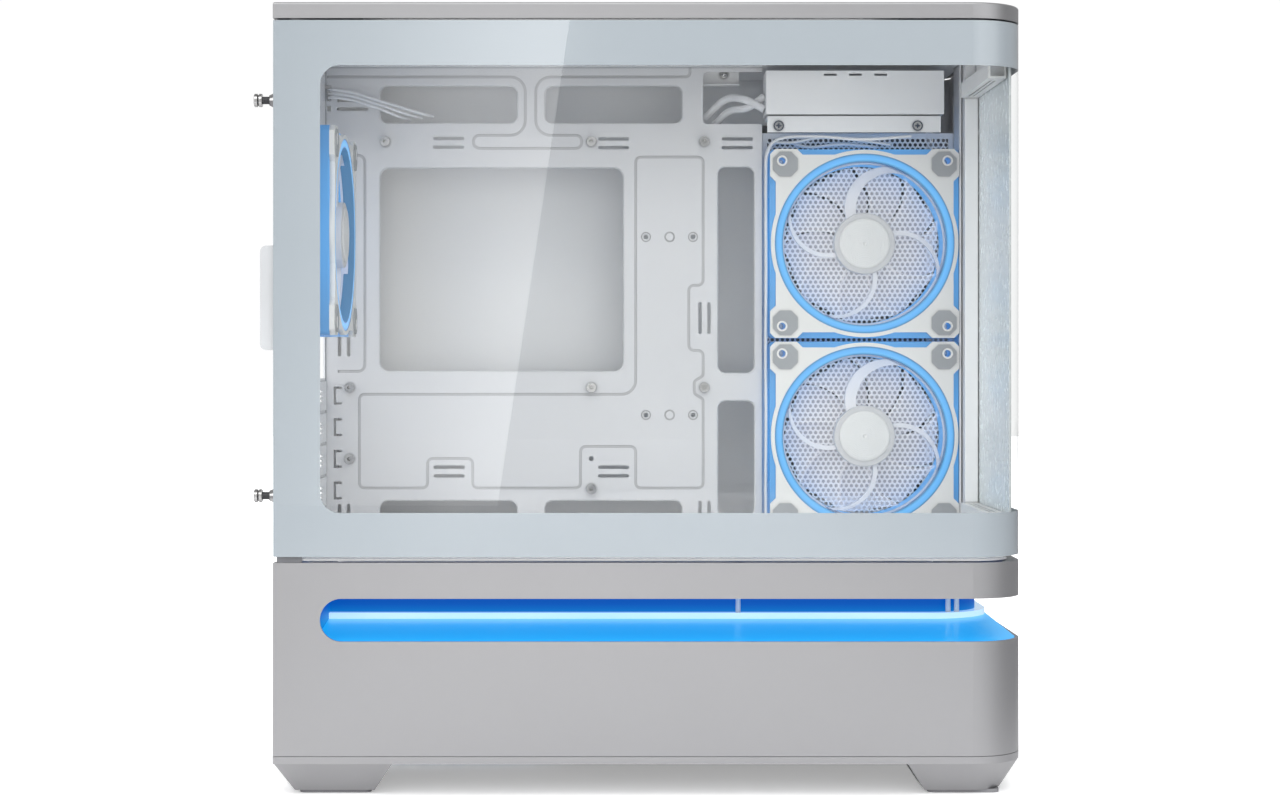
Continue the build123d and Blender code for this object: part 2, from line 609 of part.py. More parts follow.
def top_grille():
    """The perforated dust screen that sits in the top cover's opening."""
    sheet = RectangleRounded(299.4, 149.4, 5.7)
    centres = hex_grid((-145, 145), (-70, 70), 13.0, 5.6)
    grille = Pos(-10, -30, HEIGHT - 2.4) * perforated(sheet, centres, 5.6, 1.0)
    frame = RectangleRounded(306, 156, 8) - RectangleRounded(292, 142, 4)
    lip = Pos(-10, -30, HEIGHT - 3.6) * extrude(frame, 1.2)
    return grille + lip


def right_side_panel():
    z = (BASE_TOP + GAP, GLASS_TOP + 0.6)
    sheet = Pos((REAR + FRONT - RIGHT_R - GAP) / 2, sum(z) / 2) * Rectangle(LENGTH - RIGHT_R - GAP, z[1] - z[0])
    sheet -= Sketch() + [Pos(86 + 10 * i, 175 + 42 * j) * Rot(0, 0, 90) * SlotOverall(34, 4)
                         for i in range(11) for j in range(5)]
    panel = tray_face(RIGHT) * extrude(sheet, SHEET)
    return panel + flange_at_rear(1)


def flange_at_rear(side):
    """The rear flange of a side panel, open slots for its thumbscrews facing the middle of the case."""
    edge = side * (RIGHT - SHEET) if side > 0 else LEFT + GLASS + 0.4
    end = side * (RIGHT - SCREW_INSET - 7)
    z = (GLASS_BOTTOM + 1, GLASS_TOP - 1)
    flange = block((REAR, REAR + SHEET), sorted((edge, end)), z)
    for screw_z in SCREW_Z:
        y = side * (RIGHT - SCREW_INSET)
        flange -= rod((REAR - 1, y, screw_z), (1, 0, 0), 2.4, 4)
        flange -= block((REAR - 1, REAR + 3), sorted((y, end - side)), (screw_z - 2.4, screw_z + 2.4))
    return flange


# ---------------------------------------------------------------- glass side
PANE_REAR = REAR + 0.2


def glass_wall(inset, thick, y_end=GLASS_END_Y):
    outer = corner_plan(inset, inset, CORNER_R - inset, PANE_REAR, y_end)
    step = inset + thick
    return outer - corner_plan(step, step, CORNER_R - step, PANE_REAR - 1, y_end + 1)


def glass_pane():
    return prism(glass_wall(0, GLASS), GLASS_BOTTOM, GLASS_TOP)


VIEW_X = REAR + 26.2
VIEW_Z = (157.3, 405.5)
VIEW_END_Y = LEFT + 120.0
VIEW_R = 11.0


def glass_border():
    """The printed band inside the glass, open at the view window."""
    band = prism(glass_wall(GLASS, 0.3), GLASS_BOTTOM, GLASS_TOP)
    z = VIEW_Z
    side = window((VIEW_X, FRONT + 40), z, VIEW_R)
    cut = extrude(tray_face(LEFT + 0) * side, -(CORNER_R + 2))
    cut &= block((REAR, FRONT + 1), (LEFT, LEFT + CORNER_R + 2), (0, HEIGHT))
    front = window((LEFT - 40, VIEW_END_Y), z, VIEW_R)
    cut_front = wall_face(FRONT - CORNER_R - 2) * extrude(front, CORNER_R + 3)
    return band - cut - cut_front


def glass_carrier():
    """The steel carrier bonded behind the printed band, with the rear flange."""
    y = (LEFT + GLASS + 0.3, LEFT + GLASS + 0.3 + SHEET)
    strip_rear = block((REAR, REAR + 20), y, (GLASS_BOTTOM + 1, GLASS_TOP - 1))
    strips = [block((REAR + 20, FRONT - 45), y, z) for z in ((GLASS_BOTTOM + 1, GLASS_BOTTOM + 13),
                                                         (GLASS_TOP - 13, GLASS_TOP - 1))]
    return flange_at_rear(-1) + strip_rear + strips


TAB_Z = (247.6, 305.8)
TAB_REACH = 7.8


def pull_tab():
    tab = block((REAR - TAB_REACH, REAR), (LEFT + 5, LEFT + 9.5), TAB_Z)
    outer = tab.edges().filter_by(Axis.Y).group_by(Axis.X)[0]
    return fillet(outer, 3.5)


# ---------------------------------------------------------------- thumbscrews
SCREW_SHANK_R = 2.1
SCREW_PLACES = [(side * (RIGHT - SCREW_INSET), z) for side in (-1, 1) for z in SCREW_Z]


def thumbscrew(y, z):
    """A shouldered screw with a tapered collar and a head of two knurled rings."""
    profile = [(0, 0), (4.4, 0), (2.9, 3.2), (SCREW_SHANK_R, 3.2), (SCREW_SHANK_R, 7.2), (3.4, 7.2), (3.7, 7.5),
               (3.7, 8.9), (3.0, 9.2), (3.0, 9.6), (3.7, 9.9), (3.7, 11.4), (3.3, 11.7), (0, 11.7)]
    body = revolve(make_face(Polyline(*[(r, 0, h) for r, h in profile], close=True)), Axis.Z)
    cuts = [Rot(0, 0, 15 * k) * Pos(3.85, 0, 9.5) * Box(0.5, 0.35, 5) for k in range(24)]
    head = body - cuts
    shank = Cylinder(SCREW_SHANK_R, 9.0, align=(Align.CENTER, Align.CENTER, Align.MAX))
    place = Plane(origin=(REAR - 0.3, y, z), z_dir=(-1, 0, 0))
    return place * (head + shank)


# ---------------------------------------------------------------- front controls
def power_button():
    cap = rod((FRONT - 6, IO_Y[0], IO_Z), (1, 0, 0), BUTTON_R, 6.6)
    cap = fillet(cap.edges().group_by(Axis.X)[-1], 0.6)
    return cap + rod((FRONT - 7.5, IO_Y[0], IO_Z), (1, 0, 0), BUTTON_R + 1.4, 1.5)


def light_button():
    cap = rod((FRONT - 6, IO_Y[1], IO_Z), (1, 0, 0), SMALL_R, 6.4)
    return cap + rod((FRONT - 7.5, IO_Y[1], IO_Z), (1, 0, 0), SMALL_R + 1.2, 1.5)


def front_board():
    board = block((FRONT - 14, FRONT - 12.4), (IO_Y[0] - 14, IO_Y[4] + 8), (IO_Z - 14, IO_Z + 14))
    posts = [rod((FRONT - 12.4, y, IO_Z + s), (1, 0, 0), 2.0, 10.4 - 0.2) for y in (IO_Y[0] - 11, IO_Y[1] + 6)
             for s in (-10, 10)]
    return board + posts


def ports():
    shells = []
    for y, half_y, half_z in ((IO_Y[2], 2.9, 7.0), (IO_Y[3], 2.9, 7.0), (IO_Y[4], 1.8, 4.7)):
        shell = block((FRONT - 12.4, FRONT - 0.4), (y - half_y, y + half_y), (IO_Z - half_z, IO_Z + half_z))
        inside = block((FRONT - 11.4, FRONT), (y - half_y + 0.5, y + half_y - 0.5),
                       (IO_Z - half_z + 0.5, IO_Z + half_z - 0.5))
        tongue_z = (IO_Z - half_z + 1.5, IO_Z + half_z - 1.5)
        tongue = block((FRONT - 11.4, FRONT - 1.5), (y - 0.8, y + 0.6), tongue_z)
        shells.append(shell - inside + tongue)
    return shells


# ---------------------------------------------------------------- fans, each with its face at z = 0
SEAT_Z = -8.0
BEZEL = 3.0


def fan_holes(radius, z0, z1):
    return [Pos(a * HOLE_PITCH / 2, b * HOLE_PITCH / 2, z0) * Cylinder(
        radius, z1 - z0, align=(Align.CENTER, Align.CENTER, Align.MIN)) for a in (-1, 1) for b in (-1, 1)]


def disc(radius, z0, z1):
    return Pos(0, 0, z0) * Cylinder(radius, z1 - z0, align=(Align.CENTER, Align.CENTER, Align.MIN))


def fan_frame():
    frame = Pos(0, 0, -FAN_DEPTH) * extrude(RectangleRounded(FAN_SIZE, FAN_SIZE, 3), FAN_DEPTH - BEZEL)
    frame -= disc(BORE_R, -FAN_DEPTH - 1, 0)
    frame -= disc(RING_R + 0.1, SEAT_Z, 0)
    waist = [Rot(0, 0, 90 * k) * Pos(FAN_SIZE / 2, 0, -FAN_DEPTH / 2 - 1) * Box(5, 60, 8) for k in range(4)]
    return frame - waist - fan_holes(2.15, -FAN_DEPTH - 1, 0)


def bezel_outline():
    """Corner lobes joined by recessed sides, with the round of the ring standing out between them."""
    half, lobe, recess, bevel = FAN_SIZE / 2, 17.0, 3.6, 3.2
    corner = [(half - lobe - recess, half - recess), (half - lobe, half), (half - bevel, half),
              (half, half - bevel), (half, half - lobe), (half - recess, half - lobe - recess)]
    points = []
    for k in range(4):
        turned = [(x, y) for x, y in reversed(corner)]
        for x, y in turned:
            a = math.radians(90 * k)
            points.append((x * math.cos(a) - y * math.sin(a), x * math.sin(a) + y * math.cos(a)))
    return make_face(Polyline(*points, close=True)) + Circle(59.5)


def fan_bezel():
    plate = extrude(bezel_outline(), BEZEL)
    plate -= Cylinder(RING_R + 0.1, 20)
    eyelets = fan_holes(3.4, 0, BEZEL + 0.9)
    plate = plate + eyelets - fan_holes(2.2, -1, BEZEL + 2)
    return Pos(0, 0, -BEZEL) * plate


def fan_ring():
    return disc(RING_R, SEAT_Z, -0.3) - disc(RING_IN_R, SEAT_Z - 1, 1)


def strut(angle, width, sweep):
    """A curved strut that leaves the hub at angle and has turned by sweep at the seat rim."""
    inner, outer = HUB_R - 1.0, 51.0

    def spot(r, turn):
        a = math.radians(angle + turn)
        return r * math.cos(a), r * math.sin(a)

    middle = (inner + outer) / 2
    spread = math.degrees(width / 2 / middle)
    a0, a1 = spot(inner, -spread * 1.4), spot(outer, sweep - spread)
    b0, b1 = spot(inner, spread * 1.4), spot(outer, sweep + spread)
    side_a = ThreePointArc(a0, spot(middle, sweep * 0.33 - spread), a1)
    side_b = ThreePointArc(b1, spot(middle, sweep * 0.33 + spread), b0)
    face = make_face([side_a, Line(a1, b1), side_b, Line(b0, a0)])
    return Pos(0, 0, -7.2) * extrude(face, 3.4)


STRUTS = ((116.0, 9.0, -50.0), (202.0, 3.4, -44.0), (20.0, 3.4, -42.0), (-69.0, 3.4, -46.0))


def fan_stator():
    hub = disc(HUB_R, -4.2, -0.5) - disc(1.55, -5, -1.3)
    hub = fillet(hub.edges().group_by(Axis.Z)[-1], 0.8)
    skirt = disc(HUB_R, -7.2, -4.2) - disc(HUB_R - 1.2, -8, -3)
    rim = disc(51.9, SEAT_Z, -6.6) - disc(50.7, SEAT_Z - 1, 0)
    arms = [strut(*place) & disc(51.9, -10, 0) for place in STRUTS]
    arms = [arm - disc(HUB_R - 1.0, -10, 0) for arm in arms]
    return hub + skirt + rim + arms


BLADES = 9
BLADE_TWIST = 36.0


def blade():
    """A swept blade, thin and twisted from its lower to its upper edge."""
    def section(z, turn):
        def spot(r, angle):
            a = math.radians(angle + turn)
            return r * math.cos(a), r * math.sin(a)
        inner, middle, outer = HUB_R - 3.5, 34.0, TIP_R
        lead = ThreePointArc(spot(inner, 0), spot(middle, 6), spot(outer, 20))
        tip = Line(spot(outer, 20), spot(outer, 22.4))
        trail = ThreePointArc(spot(outer, 22.4), spot(middle, 9.2), spot(inner, 5.5))
        root = Line(spot(inner, 5.5), spot(inner, 0))
        return Pos(0, 0, z) * make_face([lead, tip, trail, root])
    lower, upper = section(-23.0, 0), section(-10.0, BLADE_TWIST)
    return loft([lower.faces()[0], upper.faces()[0]])


def fan_rotor():
    cup = disc(HUB_R - 2.2, -23.5, -5.4) - disc(HUB_R - 3.7, -24.5, -7.0)
    shaft = disc(1.5, -23.0, -1.7)
    one = blade() - disc(HUB_R - 3.0, -30, 0)
    blades = [Rot(0, 0, 360 / BLADES * k) * one for k in range(BLADES)]
    return cup + shaft + blades


def corner_pads():
    pads = []
    cut = 4.2
    x0, x1 = 42.6, 58.2
    points = [(x0 + cut, x0), (x1 - cut, x0), (x1, x0 + cut), (x1, x1 - cut), (x1 - cut, x1), (x0 + cut, x1),
              (x0, x1 - cut), (x0, x0 + cut)]
    pad = extrude(make_face(Polyline(*points, close=True)), 0.8)
    pad -= Pos(HOLE_PITCH / 2, HOLE_PITCH / 2, 0) * Cylinder(3.6, 4)
    pad -= Cylinder(RING_R + 0.6, 4)
    for k in range(4):
        pads.append(Rot(0, 0, 90 * k) * pad)
    return pads


def fan_screws():
    """Screws that come through the steel behind a fan and hold its corners."""
    top = -FAN_DEPTH + 9.0
    shanks = fan_holes(2.05, -FAN_DEPTH - 1.0, top)
    heads = fan_holes(3.5, -FAN_DEPTH - 2.6, -FAN_DEPTH - 1.0)
    return [shank + head for shank, head in zip(shanks, heads)]


FAN_PLACES = {
    "upper_fan": Plane(origin=(FAN_X, FAN_FACE_Y, FAN_Z[0]), x_dir=(1, 0, 0), z_dir=(0, -1, 0)),
    "lower_fan": Plane(origin=(FAN_X, FAN_FACE_Y, FAN_Z[1]), x_dir=(1, 0, 0), z_dir=(0, -1, 0)),
    "rear_fan": Plane(origin=(WALL_X + FAN_DEPTH, REAR_FAN_Y, REAR_FAN_Z), x_dir=(0, 1, 0), z_dir=(1, 0, 0)),
}


# ---------------------------------------------------------------- leads
def lead(points, radius):
    """A held lead of straight runs joined by arcs as large as the runs allow."""
    spots = [Vector(*p) for p in points]
    radii = []
    for before, here, after in zip(spots, spots[1:], spots[2:]):
        turn = math.radians((here - before).get_angle(after - here))
        shorter = min((here - before).length, (after - here).length)
        radii.append(0.45 * shorter / math.tan(turn / 2))
    path = FilletPolyline(*points, radius=radii)
    start = Plane(origin=path @ 0, z_dir=path % 0)
    tube = sweep(start * Circle(radius), path=path)
    print("lead", "length", round(path.length, 1), "radii", [round(r, 1) for r in radii],
          "volume ratio", round(tube.volume / (math.pi * radius**2 * path.length), 3))
    return tube


LEAD_X = 78.2
SIDE_LEADS = [
    [(170.0, FAN_FACE_Y + 2.0, 384.5), (140.0, FAN_FACE_Y + 0.5, 381.6), (110.0, FAN_FACE_Y + 3.0, 384.6),
     (92.0, FAN_FACE_Y + 4.0, 384.3), (82.2, FAN_FACE_Y + 6.0, 381.8), (LEAD_X + 0.2, FAN_FACE_Y + 7.5, 372.0),
     (LEAD_X, FAN_FACE_Y + 8.5, 345.0), (LEAD_X + 0.2, FAN_FACE_Y + 7.0, 295.0),
     (LEAD_X - 0.2, FAN_FACE_Y + 9.0, 250.0), (LEAD_X + 0.2, FAN_FACE_Y + 7.5, 205.0),
     (LEAD_X - 0.1, FAN_FACE_Y + 9.0, 165.0), (LEAD_X + 0.1, FAN_FACE_Y + 8.0, 134.0)],
    [(158.0, FAN_FACE_Y + 9.0, 379.5), (134.0, FAN_FACE_Y + 8.0, 383.0), (112.0, FAN_FACE_Y + 9.0, 384.8),
     (95.0, FAN_FACE_Y + 10.0, 380.5), (82.0, FAN_FACE_Y + 12.0, 381.5),
     (LEAD_X + 0.4, FAN_FACE_Y + 13.5, 374.0), (LEAD_X + 0.4, FAN_FACE_Y + 14.0, 340.0), (LEAD_X + 0.8, FAN_FACE_Y + 14.5, 290.0),
     (LEAD_X + 0.4, FAN_FACE_Y + 14.0, 240.0)],
    [(150.0, FAN_FACE_Y + 16.0, 378.6), (128.0, FAN_FACE_Y + 15.0, 381.0), (106.0, FAN_FACE_Y + 16.0, 378.0),
     (92.0, FAN_FACE_Y + 17.5, 382.5), (82.0, FAN_FACE_Y + 19.0, 381.0),
     (LEAD_X + 0.4, FAN_FACE_Y + 19.5, 373.5), (LEAD_X + 0.2, FAN_FACE_Y + 20.0, 330.0), (LEAD_X + 0.6, FAN_FACE_Y + 19.5, 270.0)],
]
HUB_LEADS = [
    [(40.0, TRAY_Y + 14.0, 399.0), (54.0, TRAY_Y + 8.0, 412.0), (66.0, TRAY_Y - 4.0, 409.0),
     (77.5, TRAY_Y - 8.0, 402.0)],
    [(44.0, TRAY_Y + 16.0, 392.0), (56.0, TRAY_Y + 9.0, 404.0), (67.0, TRAY_Y - 2.0, 403.0),
     (77.5, TRAY_Y - 4.0, 411.0)],
]
def rear_lead(rise):
    """A lead from behind the tray, out of its hook slot and back through the upper rear cut-out."""
    drift = 3 * rise
    return [(HOOK_X, TRAY_Y + 9.0, 410.0 + rise), (HOOK_X, TRAY_Y - 7.0, 410.4 + rise),
            (-187.0, TRAY_Y - 9.0, 408.5 + rise), (-168.0, TRAY_Y - 8.0, 402.5 + rise),
            (-157.0 + drift, TRAY_Y - 4.0, 398.0 + 0.4 * rise), (-150.0 + drift, TRAY_Y + 9.0, 397.4 + 0.4 * rise)]


REAR_LEADS = [rear_lead(rise) for rise in (0.0, 2.4, 4.8)]


def main():
    save("base_pan", base_pan())
    save("feet", *feet())
    save("foot_pads", *foot_pads())
    save("psu_filter", psu_filter())
    save("filter_rails", *filter_rails())
    save("lower_shell", lower_shell())
    save("light_floor", light_floor())
    save("light_strip", light_strip())
    save("light_wall", light_wall())
    save("light_posts", *light_posts())
    save("front_fascia", front_fascia())
    save("motherboard_tray", motherboard_tray())
    save("standoffs", *standoffs())
    save("rear_panel", rear_panel())
    save("slot_covers", *slot_covers())
    save("psu_bracket", psu_bracket())
    save("chamber_floor", chamber_floor())
    save("roof_frame", roof_frame())
    save("side_fan_bracket", side_fan_bracket())
    save("front_pillar", front_pillar())
    save("front_top_rail", front_rail(TOP_RAIL_Z, True))
    save("front_bottom_rail", front_rail(BOTTOM_RAIL_Z, False))
    save("hub_cover", hub_cover())
    save("hub_plate", hub_plate())
    save("interior_screws", *interior_screws())
    save("top_cover", top_cover())
    save("top_grille", top_grille())
    save("right_side_panel", right_side_panel())
    save("glass_pane", glass_pane())
    save("glass_border", glass_border())
    save("glass_carrier", glass_carrier())
    save("pull_tab", pull_tab())
    for name, place in zip(("left_top", "left_bottom", "right_top", "right_bottom"), SCREW_PLACES):
        save(f"thumbscrew_{name}", thumbscrew(*place))
    save("power_button", power_button())
    save("light_button", light_button())
    save("front_board", front_board())
    save("ports", *ports())
    kinds = {"frame": fan_frame(), "bezel": fan_bezel(), "ring": fan_ring(), "stator": fan_stator(),
             "rotor": fan_rotor()}
    for fan, place in FAN_PLACES.items():
        for kind, shape in kinds.items():
            save(f"{fan}_{kind}", place * shape)
    save("fan_corner_pads", *[place * pad for place in FAN_PLACES.values() for pad in corner_pads()])
    save("fan_screws", *[place * screw for place in FAN_PLACES.values() for screw in fan_screws()])
    save("side_fan_lead", *[lead(points, 1.0) for points in SIDE_LEADS])
    save("hub_leads", *[lead(points, 2.4) for points in HUB_LEADS])
    save("rear_fan_leads", *[lead(points, 0.9) for points in REAR_LEADS])


main()
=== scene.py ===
"""Studio scene of the compact computer case: materials for every part, fine screens and fan details."""

import math

import bmesh
import bpy
from mathutils import Matrix, Vector


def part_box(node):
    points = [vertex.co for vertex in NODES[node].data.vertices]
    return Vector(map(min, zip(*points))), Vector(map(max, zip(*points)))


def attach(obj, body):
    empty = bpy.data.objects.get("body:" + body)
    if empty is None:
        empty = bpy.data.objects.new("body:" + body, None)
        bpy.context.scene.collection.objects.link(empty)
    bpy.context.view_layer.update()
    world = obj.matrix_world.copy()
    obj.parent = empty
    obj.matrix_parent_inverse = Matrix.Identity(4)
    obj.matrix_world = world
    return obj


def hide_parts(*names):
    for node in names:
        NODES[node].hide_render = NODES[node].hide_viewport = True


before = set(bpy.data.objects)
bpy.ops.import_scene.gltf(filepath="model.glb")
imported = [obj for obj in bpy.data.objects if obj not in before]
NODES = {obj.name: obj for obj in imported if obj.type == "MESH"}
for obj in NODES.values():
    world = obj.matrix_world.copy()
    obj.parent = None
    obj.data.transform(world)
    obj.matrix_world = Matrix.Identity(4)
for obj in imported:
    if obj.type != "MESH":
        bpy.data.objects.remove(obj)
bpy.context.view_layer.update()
MM = 0.001

FANS = ("upper_fan", "lower_fan", "rear_fan")


def centre_of(node):
    low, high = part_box(node)
    return (low + high) / 2


# ------------------------------------------------------------------ places worked out from the frame
PANE_LOW, PANE_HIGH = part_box("glass_pane")
TRAY_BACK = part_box("motherboard_tray")[1].y
FAN_CENTRE = {fan: centre_of(fan + "_ring") for fan in FANS}
FAN_FACE = {
    "upper_fan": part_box("upper_fan_ring")[0].y,
    "lower_fan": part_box("lower_fan_ring")[0].y,
    "rear_fan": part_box("rear_fan_ring")[1].x,
}
FAN_AXIS_MASK = {"upper_fan": (1, 0, 1), "lower_fan": (1, 0, 1), "rear_fan": (0, 1, 1)}  # 0 along the axis
FAN_REACH = 52.5 * MM  # from a fan's axis to its screws, sideways and up
CORNER_R = 30 * MM  # the glass's bend at the front corner


# ------------------------------------------------------------------ camera and light
VIEW_DISTANCE = 1.3  # from the glass
VIEW_X, VIEW_Z = -0.0217, 0.2421
FOCAL_MM = 66.0
SENSOR_MM = 36.0
SHIFT = 0.03125  # of the lens, to the right and down
BACKDROP = 1.02  # brightness that the camera sees behind the object
# light of the surroundings by direction, from 0 behind the object to 1 straight behind the camera
SURROUNDINGS = [(0.0, 0.42), (0.36, 0.36), (0.50, 0.20), (0.64, 0.34),
                (0.78, 1.15), (0.955, 1.35), (0.982, 0.45), (1.0, 0.40)]
SKY_TINT = (0.975, 0.985, 1.0)
FLOOR_HALF = 6.0

GLARE = 3.2  # brightness of the card that the glass reflects
GLARE_TOP, GLARE_BOTTOM = (-0.0715, 0.8106), (-0.1879, 0.0261)  # x and z of two points on its bright edge
GLARE_HEIGHTS = (1.3, -0.45)
GLARE_WIDTH = 0.55
GLARE_FADE = 0.50  # how much of the width the light takes to fade out


def make_camera():
    data = bpy.data.cameras.new("camera")
    data.lens = FOCAL_MM
    data.sensor_width = SENSOR_MM
    data.shift_x = SHIFT
    data.shift_y = -SHIFT
    data.clip_start = 0.01
    data.clip_end = 50.0
    camera = bpy.data.objects.new("camera", data)
    camera.location = (VIEW_X, PANE_LOW.y - VIEW_DISTANCE, VIEW_Z)
    camera.rotation_euler = (math.radians(90), 0, 0)
    bpy.context.scene.collection.objects.link(camera)
    bpy.context.scene.camera = camera


def area_light(name, place, target, size, power, mirrored=True):
    """A softbox that no camera sees; mirrored tells whether glossy surfaces reflect it."""
    data = bpy.data.lights.new(name, "AREA")
    data.shape = "RECTANGLE"
    data.size, data.size_y = size
    data.energy = power
    lamp = bpy.data.objects.new(name, data)
    lamp.location = place
    lamp.rotation_euler = (Vector(target) - Vector(place)).to_track_quat("-Z", "Y").to_euler()
    bpy.context.scene.collection.objects.link(lamp)
    lamp.visible_camera = False
    lamp.visible_glossy = mirrored


def glare_card():
    """A tall card behind the camera whose slanted bright edge shows softly in the glass."""
    far = PANE_LOW.y - 2 * VIEW_DISTANCE
    slope = (GLARE_TOP[0] - GLARE_BOTTOM[0]) / (GLARE_TOP[1] - GLARE_BOTTOM[1])
    edge_at_floor = GLARE_BOTTOM[0] - slope * GLARE_BOTTOM[1]
    corners = []
    for z in GLARE_HEIGHTS:
        edge = GLARE_BOTTOM[0] + slope * (z - GLARE_BOTTOM[1])
        corners += [(edge, far, z), (edge - GLARE_WIDTH, far, z)]
    mesh = bpy.data.meshes.new("glare_card")
    mesh.from_pydata(corners, [], [(0, 1, 3, 2)])
    skin = Skin("glare_card", (0, 0, 0), 1.0)
    across = skin.maths("MULTIPLY_ADD", skin.coordinate("Z"), -slope, skin.coordinate("X"))
    ramp = skin.ramp(skin.spread(across, 0, 1, edge_at_floor - GLARE_FADE, edge_at_floor),
                     [(0.0, (0, 0, 0)), (0.35, (0.25, 0.25, 0.25)), (1.0, (1, 1, 1))])
    glow = skin.node("ShaderNodeEmission", Strength=GLARE)
    skin.link(ramp, glow.inputs["Color"])
    skin.link(glow.outputs[0], skin.output.inputs["Surface"])
    mesh.materials.append(skin.material)
    card = bpy.data.objects.new("glare_card", mesh)
    bpy.context.scene.collection.objects.link(card)
    card.visible_camera = False
    card.visible_diffuse = False
    card.visible_shadow = False


def light_studio():
    area_light("front_fill", (-0.15, -3.0, 0.75), (0, 0, 0.28), (2.2, 1.6), 27, mirrored=False)
    area_light("top_front_softbox", (0.0, -2.2, 2.6), (0, 0, 0.2), (2.6, 1.0), 16)
    area_light("low_fill", (0.1, -1.3, 0.12), (0.05, 0.05, 0.42), (1.2, 0.3), 2.2, mirrored=False)
    area_light("left_softbox", (-2.6, -1.8, 1.2), (0, 0, 0.25), (1.0, 1.6), 6)
    area_light("floor_softbox", (0.0, 0.5, 3.0), (0, 0.5, 0), (5.0, 5.0), 128, mirrored=False)
    glare_card()


def make_world():
    """A white backdrop for the camera, and light by direction for everything else."""
    world = bpy.data.worlds.new("studio")
    world.use_nodes = True
    tree = world.node_tree
    seen = tree.nodes["Background"]
    seen.inputs["Color"].default_value = (1, 1, 1, 1)
    seen.inputs["Strength"].default_value = BACKDROP
    lighting = tree.nodes.new("ShaderNodeBackground")
    direction = tree.nodes.new("ShaderNodeTexCoord")
    split = tree.nodes.new("ShaderNodeSeparateXYZ")
    tree.links.new(direction.outputs["Generated"], split.inputs[0])
    toward = tree.nodes.new("ShaderNodeMath")
    toward.operation = "MULTIPLY_ADD"
    tree.links.new(split.outputs["Y"], toward.inputs[0])
    toward.inputs[1].default_value = -0.5
    toward.inputs[2].default_value = 0.5
    levels = tree.nodes.new("ShaderNodeValToRGB")
    while len(levels.color_ramp.elements) < len(SURROUNDINGS):
        levels.color_ramp.elements.new(0.5)
    for element, (position, level) in zip(levels.color_ramp.elements, SURROUNDINGS):
        element.position = position
        element.color = (*[level * share for share in SKY_TINT], 1)
    tree.links.new(toward.outputs[0], levels.inputs["Fac"])
    tree.links.new(levels.outputs["Color"], lighting.inputs["Color"])
    path = tree.nodes.new("ShaderNodeLightPath")
    mix = tree.nodes.new("ShaderNodeMixShader")
    tree.links.new(path.outputs["Is Camera Ray"], mix.inputs["Fac"])
    tree.links.new(lighting.outputs[0], mix.inputs[1])
    tree.links.new(seen.outputs[0], mix.inputs[2])
    tree.links.new(mix.outputs[0], tree.nodes["World Output"].inputs["Surface"])
    bpy.context.scene.world = world
    bpy.context.scene.view_settings.view_transform = "Standard"


def make_floor():
    """A pale floor that glows to white away from the object, and throws less light back at its sides."""
    mesh = bpy.data.meshes.new("floor")
    corners = [(x * FLOOR_HALF, y * FLOOR_HALF, 0) for x, y in ((-1, -1), (1, -1), (1, 1), (-1, 1))]
    mesh.from_pydata(corners, [], [(0, 1, 2, 3)])
    floor = bpy.data.objects.new("floor", mesh)
    bpy.context.scene.collection.objects.link(floor)
    skin = Skin("floor_paint", (0.95, 0.95, 0.95), 0.8)
    skin.grain(40, 0.02, 0.05)
    away = skin.spread(skin.axis_distance((0, 0, 0), (1, 1, 0)), 0, 1, 0.5, 1.6)
    skin.glow(skin.ramp(away, [(0.0, (0.4, 0.4, 0.4)), (1.0, (1, 1, 1))]), 0.8)
    bounce = skin.node("ShaderNodeBsdfDiffuse")
    aside = skin.maths("ABSOLUTE", skin.coordinate("X"), 0)
    bounced = skin.ramp(aside, [(0.22, (0.8, 0.8, 0.81)), (0.50, (0.25, 0.25, 0.26))])
    skin.link(bounced, bounce.inputs["Color"])
    mix = skin.node("ShaderNodeMixShader")
    skin.link(skin.node("ShaderNodeLightPath").outputs["Is Camera Ray"], mix.inputs["Fac"])
    skin.link(bounce.outputs[0], mix.inputs[1])
    skin.link(skin.shader.outputs[0], mix.inputs[2])
    skin.link(mix.outputs[0], skin.output.inputs["Surface"])
    mesh.materials.append(skin.material)


# ------------------------------------------------------------------ materials
BUMP_DEPTH = 0.2 * MM


